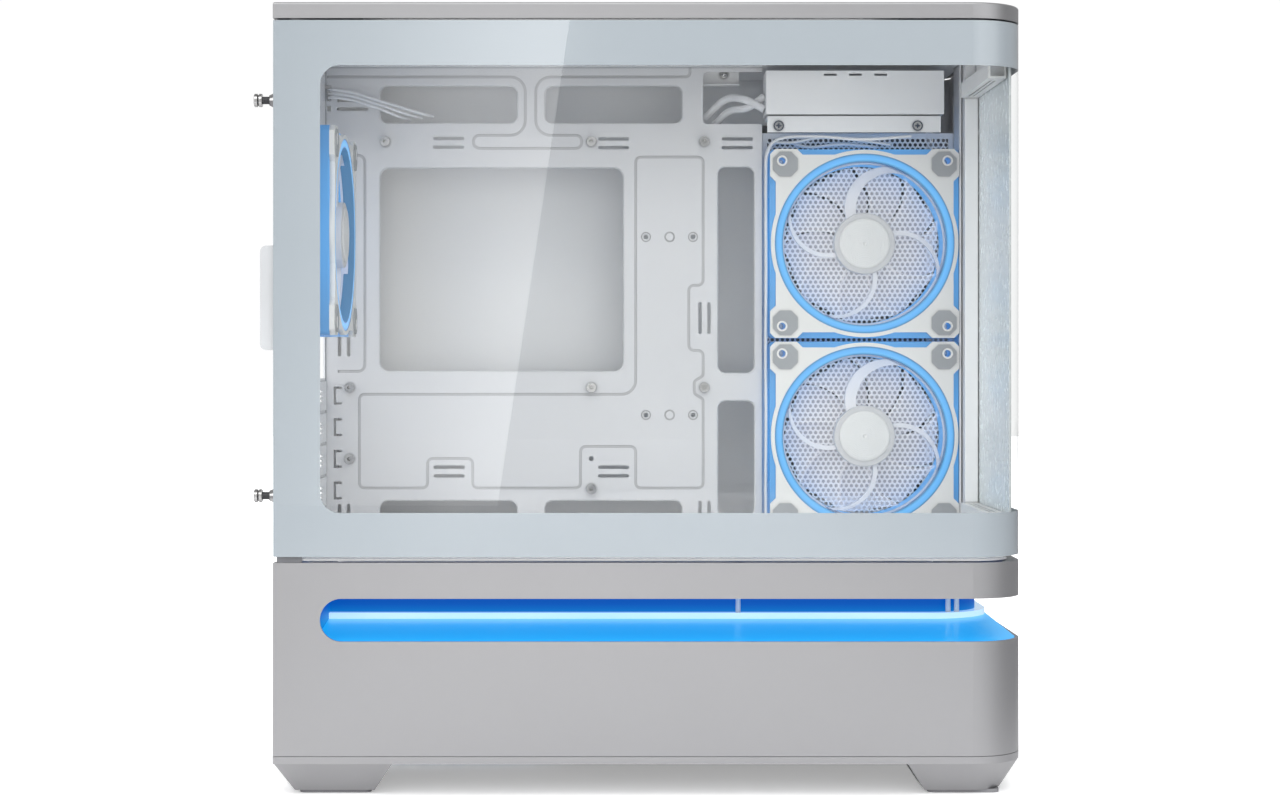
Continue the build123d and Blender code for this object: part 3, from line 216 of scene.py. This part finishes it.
class Skin:
    """A material with a Principled shader and short ways to add detail, in object coordinates in metres."""

    def __init__(self, name, colour, roughness, metallic=0.0, **sockets):
        self.material = bpy.data.materials.new(name)
        self.material.use_nodes = True
        self.tree = self.material.node_tree
        self.shader = self.tree.nodes["Principled BSDF"]
        self.output = self.tree.nodes["Material Output"]
        self.colour = (*colour, 1)
        self.set("Base Color", self.colour)
        self.set("Roughness", roughness)
        self.set("Metallic", metallic)
        for key, value in sockets.items():
            self.set(key.replace("_", " "), value)
        self.roughness = roughness
        self.coordinates = None

    def set(self, socket, value):
        self.shader.inputs[socket].default_value = value

    def node(self, kind, **values):
        made = self.tree.nodes.new(kind)
        for key, value in values.items():
            if key in made.inputs:
                made.inputs[key].default_value = value
            else:
                setattr(made, key, value)
        return made

    def link(self, start, end):
        self.tree.links.new(start, end)

    def maths(self, operation, *values):
        """A Math node; each input is a socket or a number."""
        made = self.node("ShaderNodeMath", operation=operation)
        for socket, value in zip(made.inputs, values):
            if isinstance(value, (int, float)):
                socket.default_value = value
            else:
                self.link(value, socket)
        return made.outputs[0]

    def place(self):
        if self.coordinates is None:
            self.coordinates = self.node("ShaderNodeTexCoord").outputs["Object"]
        return self.coordinates

    def noise(self, scale):
        made = self.node("ShaderNodeTexNoise", Scale=scale, Detail=3.0)
        self.link(self.place(), made.inputs["Vector"])
        return made.outputs["Fac"]

    def spread(self, source, low, high, start=0.3, end=0.7):
        """Runs from low to high as the source runs from start to end; noise seldom leaves 0.3 to 0.7."""
        made = self.node("ShaderNodeMapRange")
        for socket, value in (("From Min", start), ("From Max", end), ("To Min", low), ("To Max", high)):
            made.inputs[socket].default_value = value
        self.link(source, made.inputs["Value"])
        return made.outputs["Result"]

    def bump(self, source, strength):
        made = self.node("ShaderNodeBump", Strength=strength, Distance=BUMP_DEPTH)
        self.link(source, made.inputs["Height"])
        self.link(made.outputs["Normal"], self.shader.inputs["Normal"])

    def tint(self, source, darker):
        """Mixes the base colour towards a darker one where source is high."""
        mix = self.node("ShaderNodeMix", data_type="RGBA")
        mix.inputs["A"].default_value = self.colour
        mix.inputs["B"].default_value = (*darker, 1)
        self.link(self.spread(source, 0, 1), mix.inputs["Factor"])
        self.link(mix.outputs["Result"], self.shader.inputs["Base Color"])

    def paint_crevice_shade(self, reach, depth):
        """Paints shade into the base colour, which grain has linked, where other faces are close: darker in
        grooves and corners.
        """
        shade = self.node("ShaderNodeAmbientOcclusion", samples=8, Distance=reach)
        socket = self.shader.inputs["Base Color"]
        dark = self.node("ShaderNodeMix", data_type="RGBA")
        dark.inputs["A"].default_value = (*[c * depth for c in self.colour[:3]], 1)
        self.link(shade.outputs["AO"], dark.inputs["Factor"])
        self.link(socket.links[0].from_socket, dark.inputs["B"])
        self.link(dark.outputs["Result"], socket)

    def grain(self, scale, strength, rough_change=0.03, tone=0.985):
        """Fine paint or moulding grain: bump, uneven roughness and a slight change of tone."""
        fine = self.noise(scale)
        self.bump(fine, strength)
        low, high = self.roughness - rough_change, self.roughness + rough_change
        self.link(self.spread(self.noise(scale / 12), low, high), self.shader.inputs["Roughness"])
        self.tint(self.noise(18), [c * tone for c in self.colour[:3]])

    def ramp(self, source, stops):
        made = self.node("ShaderNodeValToRGB")
        ramp = made.color_ramp
        while len(ramp.elements) < len(stops):
            ramp.elements.new(0.5)
        for element, (position, colour) in zip(ramp.elements, stops):
            element.position = position
            element.color = (*colour, 1)
        self.link(source, made.inputs["Fac"])
        return made.outputs["Color"]

    def axis_distance(self, centre, mask):
        """Distance from an axis through centre; mask drops the coordinate along the axis."""
        away = self.node("ShaderNodeVectorMath", operation="SUBTRACT")
        self.link(self.place(), away.inputs[0])
        away.inputs[1].default_value = centre
        flat = self.node("ShaderNodeVectorMath", operation="MULTIPLY")
        self.link(away.outputs[0], flat.inputs[0])
        flat.inputs[1].default_value = mask
        length = self.node("ShaderNodeVectorMath", operation="LENGTH")
        self.link(flat.outputs[0], length.inputs[0])
        return length.outputs["Value"]

    def from_axis(self, fan, near, far):
        """Runs from 0 to 1 between two distances from the fan's axis."""
        return self.spread(self.axis_distance(FAN_CENTRE[fan], FAN_AXIS_MASK[fan]), 0, 1, near, far)

    def coordinate(self, letter):
        split = self.node("ShaderNodeSeparateXYZ")
        self.link(self.place(), split.inputs[0])
        return split.outputs[letter]

    def glow(self, colour_source, strength):
        self.link(colour_source, self.shader.inputs["Emission Color"])
        self.set("Emission Strength", strength)

    def see_through(self, share):
        """Mixes the shader with plain transparency."""
        clear = self.node("ShaderNodeBsdfTransparent")
        mix = self.node("ShaderNodeMixShader")
        mix.inputs["Fac"].default_value = share
        self.link(self.shader.outputs[0], mix.inputs[1])
        self.link(clear.outputs[0], mix.inputs[2])
        self.link(mix.outputs[0], self.output.inputs["Surface"])


def silver_paint():
    skin = Skin("silver_paint", (0.42, 0.417, 0.423), 0.36, 0.8)
    skin.grain(2600, 0.08, 0.015, 0.99)
    # painted shade: darker where faces are close
    skin.paint_crevice_shade(1.5 * MM, 0.35)
    return skin.material


def white_powder_coat(name="white_powder_coat", colour=(0.88, 0.878, 0.88)):
    skin = Skin(name, colour, 0.46)
    skin.grain(1400, 0.10, 0.02, 0.99)
    # painted shade: darker where faces are close
    skin.paint_crevice_shade(1.5 * MM, 0.15)
    return skin.material


def white_moulding():
    skin = Skin("white_moulding", (0.82, 0.81, 0.785), 0.38)
    skin.grain(3000, 0.05, 0.02, 0.99)
    # painted shade: darker where faces are close
    skin.paint_crevice_shade(2 * MM, 0.3)
    return skin.material


GLASS_SHINE = 0.7  # share of plain glass's reflection that is kept, so that the mirrored inside stays pale


def clear_glass():
    """Flat glass drawn without bending: the face that is met first reflects for both."""
    skin = Skin("clear_glass", (0.9, 0.95, 0.95), 0.02)
    clear = skin.node("ShaderNodeBsdfTransparent")
    clear.inputs["Color"].default_value = (0.988, 0.994, 0.992, 1)
    gloss = skin.node("ShaderNodeBsdfGlossy", Roughness=0.01)
    gloss.inputs["Color"].default_value = (1, 1, 1, 1)
    facing = skin.node("ShaderNodeNewGeometry")
    apart = skin.node("ShaderNodeSeparateXYZ")
    skin.link(facing.outputs["True Normal"], apart.inputs[0])
    sideways = skin.maths("ABSOLUTE", apart.outputs["X"], 0)
    forward = skin.maths("ABSOLUTE", apart.outputs["Y"], 0)
    square = skin.maths("MAXIMUM", sideways, forward)
    flat = skin.node("ShaderNodeMix", data_type="VECTOR")
    skin.link(skin.maths("GREATER_THAN", square, 0.9999), flat.inputs["Factor"])
    skin.link(facing.outputs["Normal"], flat.inputs[4])
    skin.link(facing.outputs["True Normal"], flat.inputs[5])
    fresnel = skin.node("ShaderNodeFresnel", IOR=1.45)
    skin.link(flat.outputs[1], fresnel.inputs["Normal"])
    skin.link(flat.outputs[1], gloss.inputs["Normal"])
    edge = fresnel.outputs[0]
    twice = skin.maths("MULTIPLY", edge, 2.0)
    both = skin.maths("DIVIDE", twice, skin.maths("ADD", edge, 1.0))
    back = skin.node("ShaderNodeNewGeometry").outputs["Backfacing"]
    front = skin.maths("MULTIPLY", skin.maths("SUBTRACT", 1.0, back), GLASS_SHINE)
    share = skin.maths("MULTIPLY", both, front)
    mix = skin.node("ShaderNodeMixShader")
    skin.link(share, mix.inputs["Fac"])
    skin.link(clear.outputs[0], mix.inputs[1])
    skin.link(gloss.outputs[0], mix.inputs[2])
    skin.link(mix.outputs[0], skin.output.inputs["Surface"])
    return skin.material


def glass_edge():
    skin = Skin("glass_edge", (0.82, 0.88, 0.88), 0.25)
    skin.grain(2000, 0.1, 0.05)
    return skin.material


def printed_band():
    skin = Skin("printed_band", (0.345, 0.38, 0.41), 0.12)
    skin.grain(3000, 0.004, 0.01, 0.995)
    return skin.material


def grey_rubber(name, colour):
    skin = Skin(name, colour, 0.7)
    skin.grain(2500, 0.3, 0.06, 0.93)
    return skin.material


def plated_steel():
    skin = Skin("plated_steel", (0.72, 0.71, 0.70), 0.22, 1.0)
    skin.grain(1800, 0.06, 0.06, 0.9)
    # painted shade: darker where faces are close
    skin.paint_crevice_shade(0.8 * MM, 0.05)
    return skin.material


def board_lacquer():
    skin = Skin("board_lacquer", (0.02, 0.06, 0.04), 0.35)
    skin.grain(900, 0.1, 0.08, 0.7)
    return skin.material


def lead_jacket():
    skin = Skin("lead_jacket", (0.82, 0.82, 0.83), 0.42)
    skin.grain(1500, 0.1, 0.06)
    return skin.material


def ring_light(fan):
    """Lit ring: bright in its middle, deeper blue at its rims."""
    skin = Skin(fan + "_ring_light", (0.06, 0.14, 0.22), 0.3)
    across = skin.from_axis(fan, 52 * MM, 57 * MM)
    stops = [(0.0, (0.03, 0.12, 0.26)), (0.10, (0.08, 0.34, 0.72)), (0.30, (0.15, 0.52, 0.98)),
             (0.72, (0.11, 0.44, 0.92)), (0.90, (0.06, 0.26, 0.58)), (1.0, (0.04, 0.15, 0.34))]
    skin.glow(skin.ramp(across, stops), 0.80)
    skin.bump(skin.noise(700), 0.05)
    return skin.material


def lit_frame(fan):
    """Milky frame, blue from the light inside it and deeper away from the ring."""
    skin = Skin(fan + "_lit_frame", (0.12, 0.26, 0.42), 0.3)
    across = skin.from_axis(fan, 48 * MM, 84 * MM)
    uneven = skin.maths("MULTIPLY_ADD", skin.noise(60), 0.3, across)
    stops = [(0.15, (0.06, 0.36, 0.85)), (0.5, (0.03, 0.29, 0.74)), (1.0, (0.01, 0.16, 0.46))]
    skin.glow(skin.ramp(uneven, stops), 0.55)
    skin.bump(skin.noise(500), 0.05)
    return skin.material


def stator_plastic(fan):
    """Frosted struts with a grey hub ring."""
    skin = Skin(fan + "_stator_plastic", (0.72, 0.73, 0.78), 0.4)
    across = skin.from_axis(fan, 0, 52 * MM)
    stops = [(0.0, (0.60, 0.60, 0.61)), (0.37, (0.62, 0.62, 0.63)),
             (0.38, (0.80, 0.80, 0.83)), (1.0, (0.66, 0.71, 0.84))]
    skin.link(skin.ramp(across, stops), skin.shader.inputs["Base Color"])
    skin.bump(skin.noise(2500), 0.05)
    return skin.material


def blade_plastic(fan):
    """Thin frosted blades: mostly clear, with a faint painted glow, bluer towards the rim, that veils the
    screen behind evenly; the blades are no lamp.
    """
    skin = Skin(fan + "_blade_plastic", (0.86, 0.86, 0.90), 0.4)
    across = skin.from_axis(fan, 17 * MM, 51 * MM)
    stops = [(0.0, (0.86, 0.85, 0.87)), (0.6, (0.86, 0.85, 0.92)), (1.0, (0.78, 0.81, 0.92))]
    skin.link(skin.ramp(across, stops), skin.shader.inputs["Base Color"])
    # painted light: a glow on blades that give no light of their own
    skin.glow(skin.ramp(across, [(0.0, (0.95, 0.93, 0.93)), (1.0, (0.87, 0.87, 0.97))]), 0.42)
    skin.bump(skin.noise(1500), 0.06)
    skin.see_through(0.80)
    return skin.material


def lit_floor():
    """White floor washed by the light bar."""
    skin = Skin("lit_floor", (0.03, 0.24, 0.50), 0.3)
    height = skin.spread(skin.coordinate("Z"), 0, 1, 86 * MM, 91 * MM)
    stops = [(0.0, (0.01, 0.44, 0.90)), (0.75, (0.02, 0.47, 0.94)), (1.0, (0.09, 0.56, 1.0))]
    skin.glow(skin.ramp(height, stops), 0.62)
    skin.bump(skin.noise(1200), 0.05)
    return skin.material


def lit_wall():
    """Back of the light channel: the bar's blue light on it is painted on as a glow, deeper blue away from
    the bar, over a near-black blue base colour.
    """
    skin = Skin("lit_wall", (0.0, 0.02, 0.09), 0.5, Specular_IOR_Level=0.2)
    height = skin.spread(skin.coordinate("Z"), 0, 1, 92 * MM, 112 * MM)
    stops = [(0.0, (0.0, 0.26, 0.74)), (0.35, (0.0, 0.11, 0.55)), (1.0, (0.0, 0.05, 0.40))]
    # painted light from the bar, fading with height
    skin.glow(skin.ramp(height, stops), 0.75)
    skin.bump(skin.noise(1200), 0.05)
    return skin.material


def light_bar():
    skin = Skin("light_bar", (0.35, 0.55, 0.75), 0.12, Coat_Weight=0.6)
    along = skin.noise(12)
    skin.glow(skin.ramp(along, [(0.3, (0.52, 0.80, 1.0)), (0.7, (0.68, 0.88, 1.0))]), 0.68)
    return skin.material


def dark_metal():
    skin = Skin("dark_metal", (0.03, 0.03, 0.033), 0.4)
    skin.grain(1500, 0.1)
    return skin.material


def paint(node, material):
    slots = NODES[node].data.materials
    slots.clear()
    slots.append(material)


def paint_all():
    """Gives every CAD node its material, and the pane's cut edges a second one."""
    silver, steel, moulding = silver_paint(), white_powder_coat(), white_moulding()
    plated, jacket = plated_steel(), lead_jacket()
    groups = {
        silver: ("base_pan", "feet", "lower_shell", "front_fascia", "top_cover", "power_button",
                 "light_button"),
        # the tray takes the white coat in a darker copy, as painted shade
        white_powder_coat("tray_shaded_powder_coat", (0.70, 0.695, 0.70)): ("motherboard_tray",),
        steel: ("rear_panel", "slot_covers", "psu_bracket", "chamber_floor", "roof_frame", "side_fan_bracket",
                "front_pillar", "hub_cover", "hub_plate", "right_side_panel", "glass_carrier", "top_grille"),
        moulding: ("psu_filter", "filter_rails", "light_posts", "front_top_rail", "front_bottom_rail",
                   "upper_fan_bezel", "lower_fan_bezel", "rear_fan_bezel"),
        plated: ("standoffs", "interior_screws", "fan_screws", "ports", "thumbscrew_left_top",
                 "thumbscrew_left_bottom", "thumbscrew_right_top", "thumbscrew_right_bottom"),
        jacket: ("side_fan_lead", "hub_leads", "rear_fan_leads"),
        clear_glass(): ("glass_pane",),
        printed_band(): ("glass_border",),
        grey_rubber("foot_rubber", (0.25, 0.25, 0.26)): ("foot_pads",),
        grey_rubber("pad_rubber", (0.40, 0.41, 0.42)): ("fan_corner_pads",),
        grey_rubber("tab_rubber", (0.55, 0.56, 0.57)): ("pull_tab",),
        board_lacquer(): ("front_board",),
        lit_floor(): ("light_floor",),
        lit_wall(): ("light_wall",),
        light_bar(): ("light_strip",),
    }
    for material, names in groups.items():
        for name in names:
            paint(name, material)
    for fan in FANS:
        paint(fan + "_ring", ring_light(fan))
        paint(fan + "_frame", lit_frame(fan))
        paint(fan + "_stator", stator_plastic(fan))
        paint(fan + "_rotor", blade_plastic(fan))
    pane = NODES["glass_pane"].data
    pane.materials.append(glass_edge())
    for face in pane.polygons:
        normal = face.normal
        level_or_rear = abs(normal.z) > 0.9 or normal.x < -0.9
        front_end = normal.y > 0.9 and face.center.y > PANE_HIGH.y - MM
        face.material_index = 1 if level_or_rear or front_end else 0


# ------------------------------------------------------------------ mesh helpers
def link_piece(name, mesh, body, material):
    """Links a new piece that rides on a CAD body."""
    piece = bpy.data.objects.new(name, mesh)
    bpy.context.scene.collection.objects.link(piece)
    mesh.materials.append(material)
    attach(piece, body)
    return piece


def lathe(name, profile, frame_matrix, body, material, steps):
    """A turned solid from (radius, height) points, smooth round its axis."""
    bm = bmesh.new()
    rings = []
    for radius, height in profile:
        if radius == 0:
            rings.append([bm.verts.new((0, 0, height))])
            continue
        turns = [2 * math.pi * k / steps for k in range(steps)]
        rings.append([bm.verts.new((radius * math.cos(t), radius * math.sin(t), height)) for t in turns])
    for one, two in zip(rings, rings[1:]):
        for k in range(steps):
            after = (k + 1) % steps
            corners = [one[k % len(one)], one[after % len(one)], two[after % len(two)], two[k % len(two)]]
            unique = list(dict.fromkeys(corners))
            if len(unique) > 2:
                bm.faces.new(unique)
    bmesh.ops.recalc_face_normals(bm, faces=bm.faces)
    bm.transform(frame_matrix)
    mesh = bpy.data.meshes.new(name)
    bm.to_mesh(mesh)
    bm.free()
    mesh.shade_smooth()
    link_piece(name, mesh, body, material)


def ring_profile(inner, outer, low, high):
    """The closed outline of a flat ring, for lathe."""
    return [(inner, low), (inner, high), (outer, high), (outer, low), (inner, low)]


def add_box(bm, low, high):
    made = bmesh.ops.create_cube(bm, size=1.0)["verts"]
    middle, size = (Vector(low) + Vector(high)) / 2, Vector(high) - Vector(low)
    bmesh.ops.scale(bm, vec=size, verts=made)
    bmesh.ops.translate(bm, vec=middle, verts=made)


def boxes(name, spans, body, material):
    """One piece of plain boxes, each from its lowest to its highest corner."""
    bm = bmesh.new()
    for low, high in spans:
        add_box(bm, low, high)
    mesh = bpy.data.meshes.new(name)
    bm.to_mesh(mesh)
    bm.free()
    link_piece(name, mesh, body, material)


def fan_matrix(fan):
    """The frame with its origin on the fan's axis at its face and +Z out of the face."""
    middle = FAN_CENTRE[fan]
    if fan == "rear_fan":
        turn = Matrix.Rotation(math.radians(90), 4, "Y")
        return Matrix.Translation((FAN_FACE[fan], middle.y, middle.z)) @ turn
    turn = Matrix.Rotation(math.radians(90), 4, "X")
    return Matrix.Translation((middle.x, FAN_FACE[fan], middle.z)) @ turn


def hex_screen(name, spans, place, pitch, hole, thick, keep, body, material):
    """A screen of hexagonal cells: place maps (u, v, depth) to the frame, keep tells which have a hole."""
    (u0, u1), (v0, v1) = spans
    corner = pitch / math.sqrt(3)
    row = corner * 1.5
    bm = bmesh.new()
    cache = {}

    def vertex(u, v, depth):
        key = (round(u * 1e6), round(v * 1e6), depth)
        if key not in cache:
            cache[key] = bm.verts.new(place(u, v, depth))
        return cache[key]

    turns = [(math.cos(math.radians(60 * k + 30)), math.sin(math.radians(60 * k + 30))) for k in range(6)]
    for j in range(int((v1 - v0) / row) + 1):
        v = v0 + j * row
        shift = pitch / 2 if j % 2 else 0
        for i in range(int((u1 - u0 - shift) / pitch) + 1):
            u = u0 + shift + i * pitch
            outer = [[vertex(u + corner * c, v + corner * s, d) for c, s in turns] for d in (0, thick)]
            if not keep(u, v):
                bm.faces.new(outer[0][::-1])
                bm.faces.new(outer[1])
                continue
            inner = [[vertex(u + hole * c, v + hole * s, d) for c, s in turns] for d in (0, thick)]
            for k in range(6):
                after = (k + 1) % 6
                bm.faces.new((outer[0][after], outer[0][k], inner[0][k], inner[0][after]))
                bm.faces.new((outer[1][k], outer[1][after], inner[1][after], inner[1][k]))
                bm.faces.new((inner[0][k], inner[1][k], inner[1][after], inner[0][after]))
    bmesh.ops.recalc_face_normals(bm, faces=bm.faces)
    mesh = bpy.data.meshes.new(name)
    bm.to_mesh(mesh)
    bm.free()
    return link_piece(name, mesh, body, material)


# ------------------------------------------------------------------ printed border
PRINT_OUT = 3.95 * MM  # from the glass's inner face to just under its outer one


def outer_border():
    """The print brought out to just under the glass's outer face, and round its bend."""
    source = NODES["glass_border"]
    mesh = source.data.copy()
    mesh.materials.clear()
    centre_x, centre_y = PANE_HIGH.x - CORNER_R, PANE_LOW.y + CORNER_R
    to_frame = source.matrix_world
    for vertex in mesh.vertices:
        point = to_frame @ vertex.co
        away = Vector((max(point.x - centre_x, 0.0), min(point.y - centre_y, 0.0), 0.0))
        if away.length > 0:
            point += away.normalized() * PRINT_OUT
        vertex.co = point
    mesh.update()
    piece = link_piece("outer_border", mesh, "glass_side", printed_band())
    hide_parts("glass_border")


# ------------------------------------------------------------------ fan and screw details
EYELET_DEPTH = -1.2 * MM  # under the fan's face
CAP_RADIUS = 16.0 * MM
CAP_RINGS = 12
PLATE_SCREWS = (0.0916, 0.1796)  # x of the screws in the plate above the upper fan
PLATE_SCREW_RISE = 4.0 * MM  # above the plate's lower edge
PLATE_SCREW_HEAD = 1.85 * MM  # how far the heads' faces stand out of the plate
BOLT_X, BOLT_Z = 0.0588, 0.4277  # the bolt in the tray's open top corner


def make_eyelets():
    """Small lit rings round the fan screws."""
    lit = Skin("eyelet_light", (0.4, 0.6, 0.8), 0.3)
    lit.glow(lit.ramp(lit.noise(300), [(0.3, (0.30, 0.66, 1.0)), (0.7, (0.45, 0.76, 1.0))]), 0.7)
    ring = ring_profile(2.7 * MM, 3.5 * MM, 0.05 * MM, 0.45 * MM)
    for fan in FANS:
        for number, (side, up) in enumerate(((-1, -1), (1, -1), (-1, 1), (1, 1))):
            place = fan_matrix(fan) @ Matrix.Translation((side * FAN_REACH, up * FAN_REACH, EYELET_DEPTH))
            lathe(f"{fan}_eyelet_{number}", ring, place, "root", lit.material, 32)


def darken_necks():
    """Thumbscrew necks behind the knurled heads are dark."""
    material = dark_metal()
    for name in ("left_top", "left_bottom", "right_top", "right_bottom"):
        node = NODES["thumbscrew_" + name]
        mesh = node.data
        low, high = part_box("thumbscrew_" + name)
        middle = (low + high) / 2
        widest = (high.z - low.z) / 2
        mesh.materials.append(material)
        to_frame = node.matrix_world
        for face in mesh.polygons:
            centre = to_frame @ face.center
            radius = math.hypot(centre.y - middle.y, centre.z - middle.z)
            if abs(face.normal.x) < 0.5 and radius < 0.7 * widest:
                face.material_index = 1


def screw_shadow_marks():
    """Painted shadow on the two screws of the plate above the upper fan: dark rims round them and dark cross
    recesses.
    """
    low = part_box("hub_plate")[0]
    shadow = Skin("screw_shadow", (0.05, 0.07, 0.11), 0.5)
    shadow.grain(1500, 0.1)
    rim = ring_profile(2.75 * MM, 3.3 * MM, 0, 0.25 * MM)
    face, z = low.y - PLATE_SCREW_HEAD, low.z + PLATE_SCREW_RISE
    spans = []
    for number, x in enumerate(PLATE_SCREWS):
        place = Matrix.Translation((x, face, z)) @ Matrix.Rotation(math.radians(90), 4, "X")
        lathe(f"plate_screw_shadow_rim_{number}", rim, place, "root", shadow.material, 40)
        for wide, tall in ((1.5 * MM, 0.35 * MM), (0.35 * MM, 1.5 * MM)):
            spans.append(((x - wide, face - 0.15 * MM, z - tall), (x + wide, face + 0.05 * MM, z + tall)))
    boxes("plate_screw_shadow_crosses", spans, "root", shadow.material)


def sill_end():
    """Fills the end of the narrow gap under the glass, by the rear panel, with a dark grey box that paints
    the gap's shade.
    """
    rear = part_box("rear_panel")[0].x
    near, top = PANE_LOW.y + 5 * MM, PANE_LOW.z
    span = ((rear, near, top - 4 * MM), (rear + 14 * MM, near + 2 * MM, top))
    boxes("sill_end", [span], "root", grey_rubber("sill_shade_grey", (0.30, 0.30, 0.31)))


def roof_bolt():
    """Folded tab with a bolt, seen in the tray's open top corner."""
    steel, plated = white_powder_coat(), plated_steel()
    y = TRAY_BACK + 9 * MM
    rear, front, back = BOLT_X - 14 * MM, BOLT_X + 9.7 * MM, y + 1.2 * MM
    fold, top = BOLT_Z - 6.7 * MM, BOLT_Z + 2.5 * MM
    upright = ((rear, y, fold), (front, back, top))
    shelf = ((rear, y - 6 * MM, fold - 1.2 * MM), (front, back, fold))
    boxes("roof_tab", [upright, shelf], "root", steel)
    head = [(0, -3.2 * MM), (1.0 * MM, -3.2 * MM), (1.3 * MM, -2.0 * MM), (1.9 * MM, -2.6 * MM),
            (2.6 * MM, -2.2 * MM), (2.9 * MM, -1.0 * MM), (2.9 * MM, 0)]
    place = Matrix.Translation((BOLT_X, y, BOLT_Z)) @ Matrix.Rotation(math.radians(-90), 4, "X")
    lathe("roof_bolt", head, place, "root", plated, 32)


def cap_plastic():
    skin = Skin("hub_cap_plastic", (0.78, 0.78, 0.77), 0.4)
    skin.grain(3000, 0.03, 0.02, 0.99)
    # painted shade: darker where faces are close
    skin.paint_crevice_shade(0.8 * MM, 0.35)
    return skin.material


def make_hub_caps():
    """White hub caps with fine turned rings round a small dimple."""
    material = cap_plastic()
    top, groove = 0.70 * MM, 0.60 * MM
    profile = [(0, 0.25 * MM), (0.7 * MM, 0.3 * MM), (1.0 * MM, 0.62 * MM)]
    step = (CAP_RADIUS - 2.4 * MM) / CAP_RINGS
    for k in range(CAP_RINGS):
        start = 1.6 * MM + k * step
        profile += [(start, top), (start + 0.6 * step, top), (start + 0.75 * step, groove)]
    profile += [(CAP_RADIUS - 0.4 * MM, top), (CAP_RADIUS, 0.35 * MM), (CAP_RADIUS, -0.25 * MM)]
    for fan in FANS:
        lathe(fan + "_hub_cap", profile, fan_matrix(fan), "root", material, 96)


# ------------------------------------------------------------------ fine screens
PROUD = 0.05 * MM  # how far a rim stands past the screen it holds, so that no two faces coincide
SHEET = 1.0 * MM
FAN_SCREEN_TALL = 256.9 * MM
DUST_X, DUST_Z = (0.084, 0.198), (0.150, 0.400)  # reach of the dark screen behind the right panel's vents, whose upper part paints the shade behind the fan screen's holes


def fan_screen():
    """The steel screen behind the side fans with its folded front edge, in place of the coarse one."""
    low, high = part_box("side_fan_bracket")
    plate = high.y - SHEET
    rim = 3.6 * MM
    top, front = low.z + FAN_SCREEN_TALL, high.x - 1.2 * MM
    posts = [(FAN_CENTRE[fan].x + side * FAN_REACH, FAN_CENTRE[fan].z + up * FAN_REACH)
             for fan in ("upper_fan", "lower_fan") for side in (-1, 1) for up in (-1, 1)]
    inner_x0, inner_x1, inner_z0, inner_z1 = low.x + rim, front - rim, low.z + rim, top - rim
    material = white_powder_coat()
    screen = hex_screen("fan_screen", ((inner_x0, inner_x1), (inner_z0, inner_z1)),
                        lambda u, v, d: (u, plate + d, v), 3.3 * MM, 1.25 * MM, SHEET,
                        lambda u, v: all(math.hypot(u - x, v - z) > 5 * MM for x, z in posts),
                        "root", material)
    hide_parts("side_fan_bracket")
    near, far = plate - PROUD, high.y + PROUD
    spans = [((low.x, near, low.z), (inner_x0, far, top)), ((inner_x1, near, low.z), (front, far, top)),
             ((inner_x0, near, low.z), (inner_x1, far, inner_z0)),
             ((inner_x0, near, inner_z1), (inner_x1, far, top)),
             ((front, low.y, low.z), (high.x, high.y, high.z))]
    boxes("fan_screen_edges", spans, "root", material)


def roof_screen():
    """The fine perforated screen in the top cover's opening, in place of the coarse one."""
    low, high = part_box("top_grille")
    lip, rim, short = 3.3 * MM, 6.0 * MM, 3.0 * MM  # short: what the last row of cells leaves bare
    plate = high.z - SHEET
    x0, x1, y0, y1 = low.x + lip, high.x - lip, low.y + lip, high.y - lip
    inner_x0, inner_y0 = x0 + rim, y0 + rim
    inner_x1, inner_y1 = x1 - rim - short, y1 - rim - short
    material = white_powder_coat()
    screen = hex_screen("roof_screen", ((inner_x0, x1 - rim), (inner_y0, y1 - rim)),
                        lambda u, v, d: (u, v, plate + d), 4.2 * MM, 1.7 * MM, SHEET,
                        lambda u, v: True, "root", material)
    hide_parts("top_grille")
    under, over = plate - PROUD, high.z + PROUD
    spans = [((x0, y0, under), (inner_x0, y1, over)), ((inner_x1, y0, under), (x1, y1, over)),
             ((inner_x0, y0, under), (inner_x1, inner_y0, over)),
             ((inner_x0, inner_y1, under), (inner_x1, y1, over)),
             ((low.x, low.y, low.z), (inner_x0, high.y, under)),
             ((inner_x1, low.y, low.z), (high.x, high.y, under)),
             ((inner_x0, low.y, low.z), (inner_x1, inner_y0, under)),
             ((inner_x0, inner_y1, low.z), (inner_x1, high.y, under))]
    boxes("roof_screen_edges", spans, "root", material)


def dust_and_shade_screen_skin():
    skin = Skin("dust_and_shade_screen", (0.10, 0.105, 0.11), 0.7)
    skin.grain(1800, 0.5, 0.08, 0.6)
    return skin.material


def panel_dust_and_shade_screen():
    """The dark dust screen behind the right panel's vents, just inside its sheet; its upper reach is a dark
    sheet that paints the shade seen through the fan screen's holes.
    """
    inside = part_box("right_side_panel")[1].y - 1.2 * MM
    span = ((DUST_X[0], inside - 0.8 * MM, DUST_Z[0]), (DUST_X[1], inside - 0.1 * MM, DUST_Z[1]))
    boxes("panel_dust_and_shade_screen", [span], "right_side", dust_and_shade_screen_skin())


# ------------------------------------------------------------------ making
make_camera()
make_world()
make_floor()
light_studio()
paint_all()
make_hub_caps()
make_eyelets()
outer_border()
darken_necks()
roof_bolt()
screw_shadow_marks()
sill_end()
fan_screen()
roof_screen()
panel_dust_and_shade_screen()
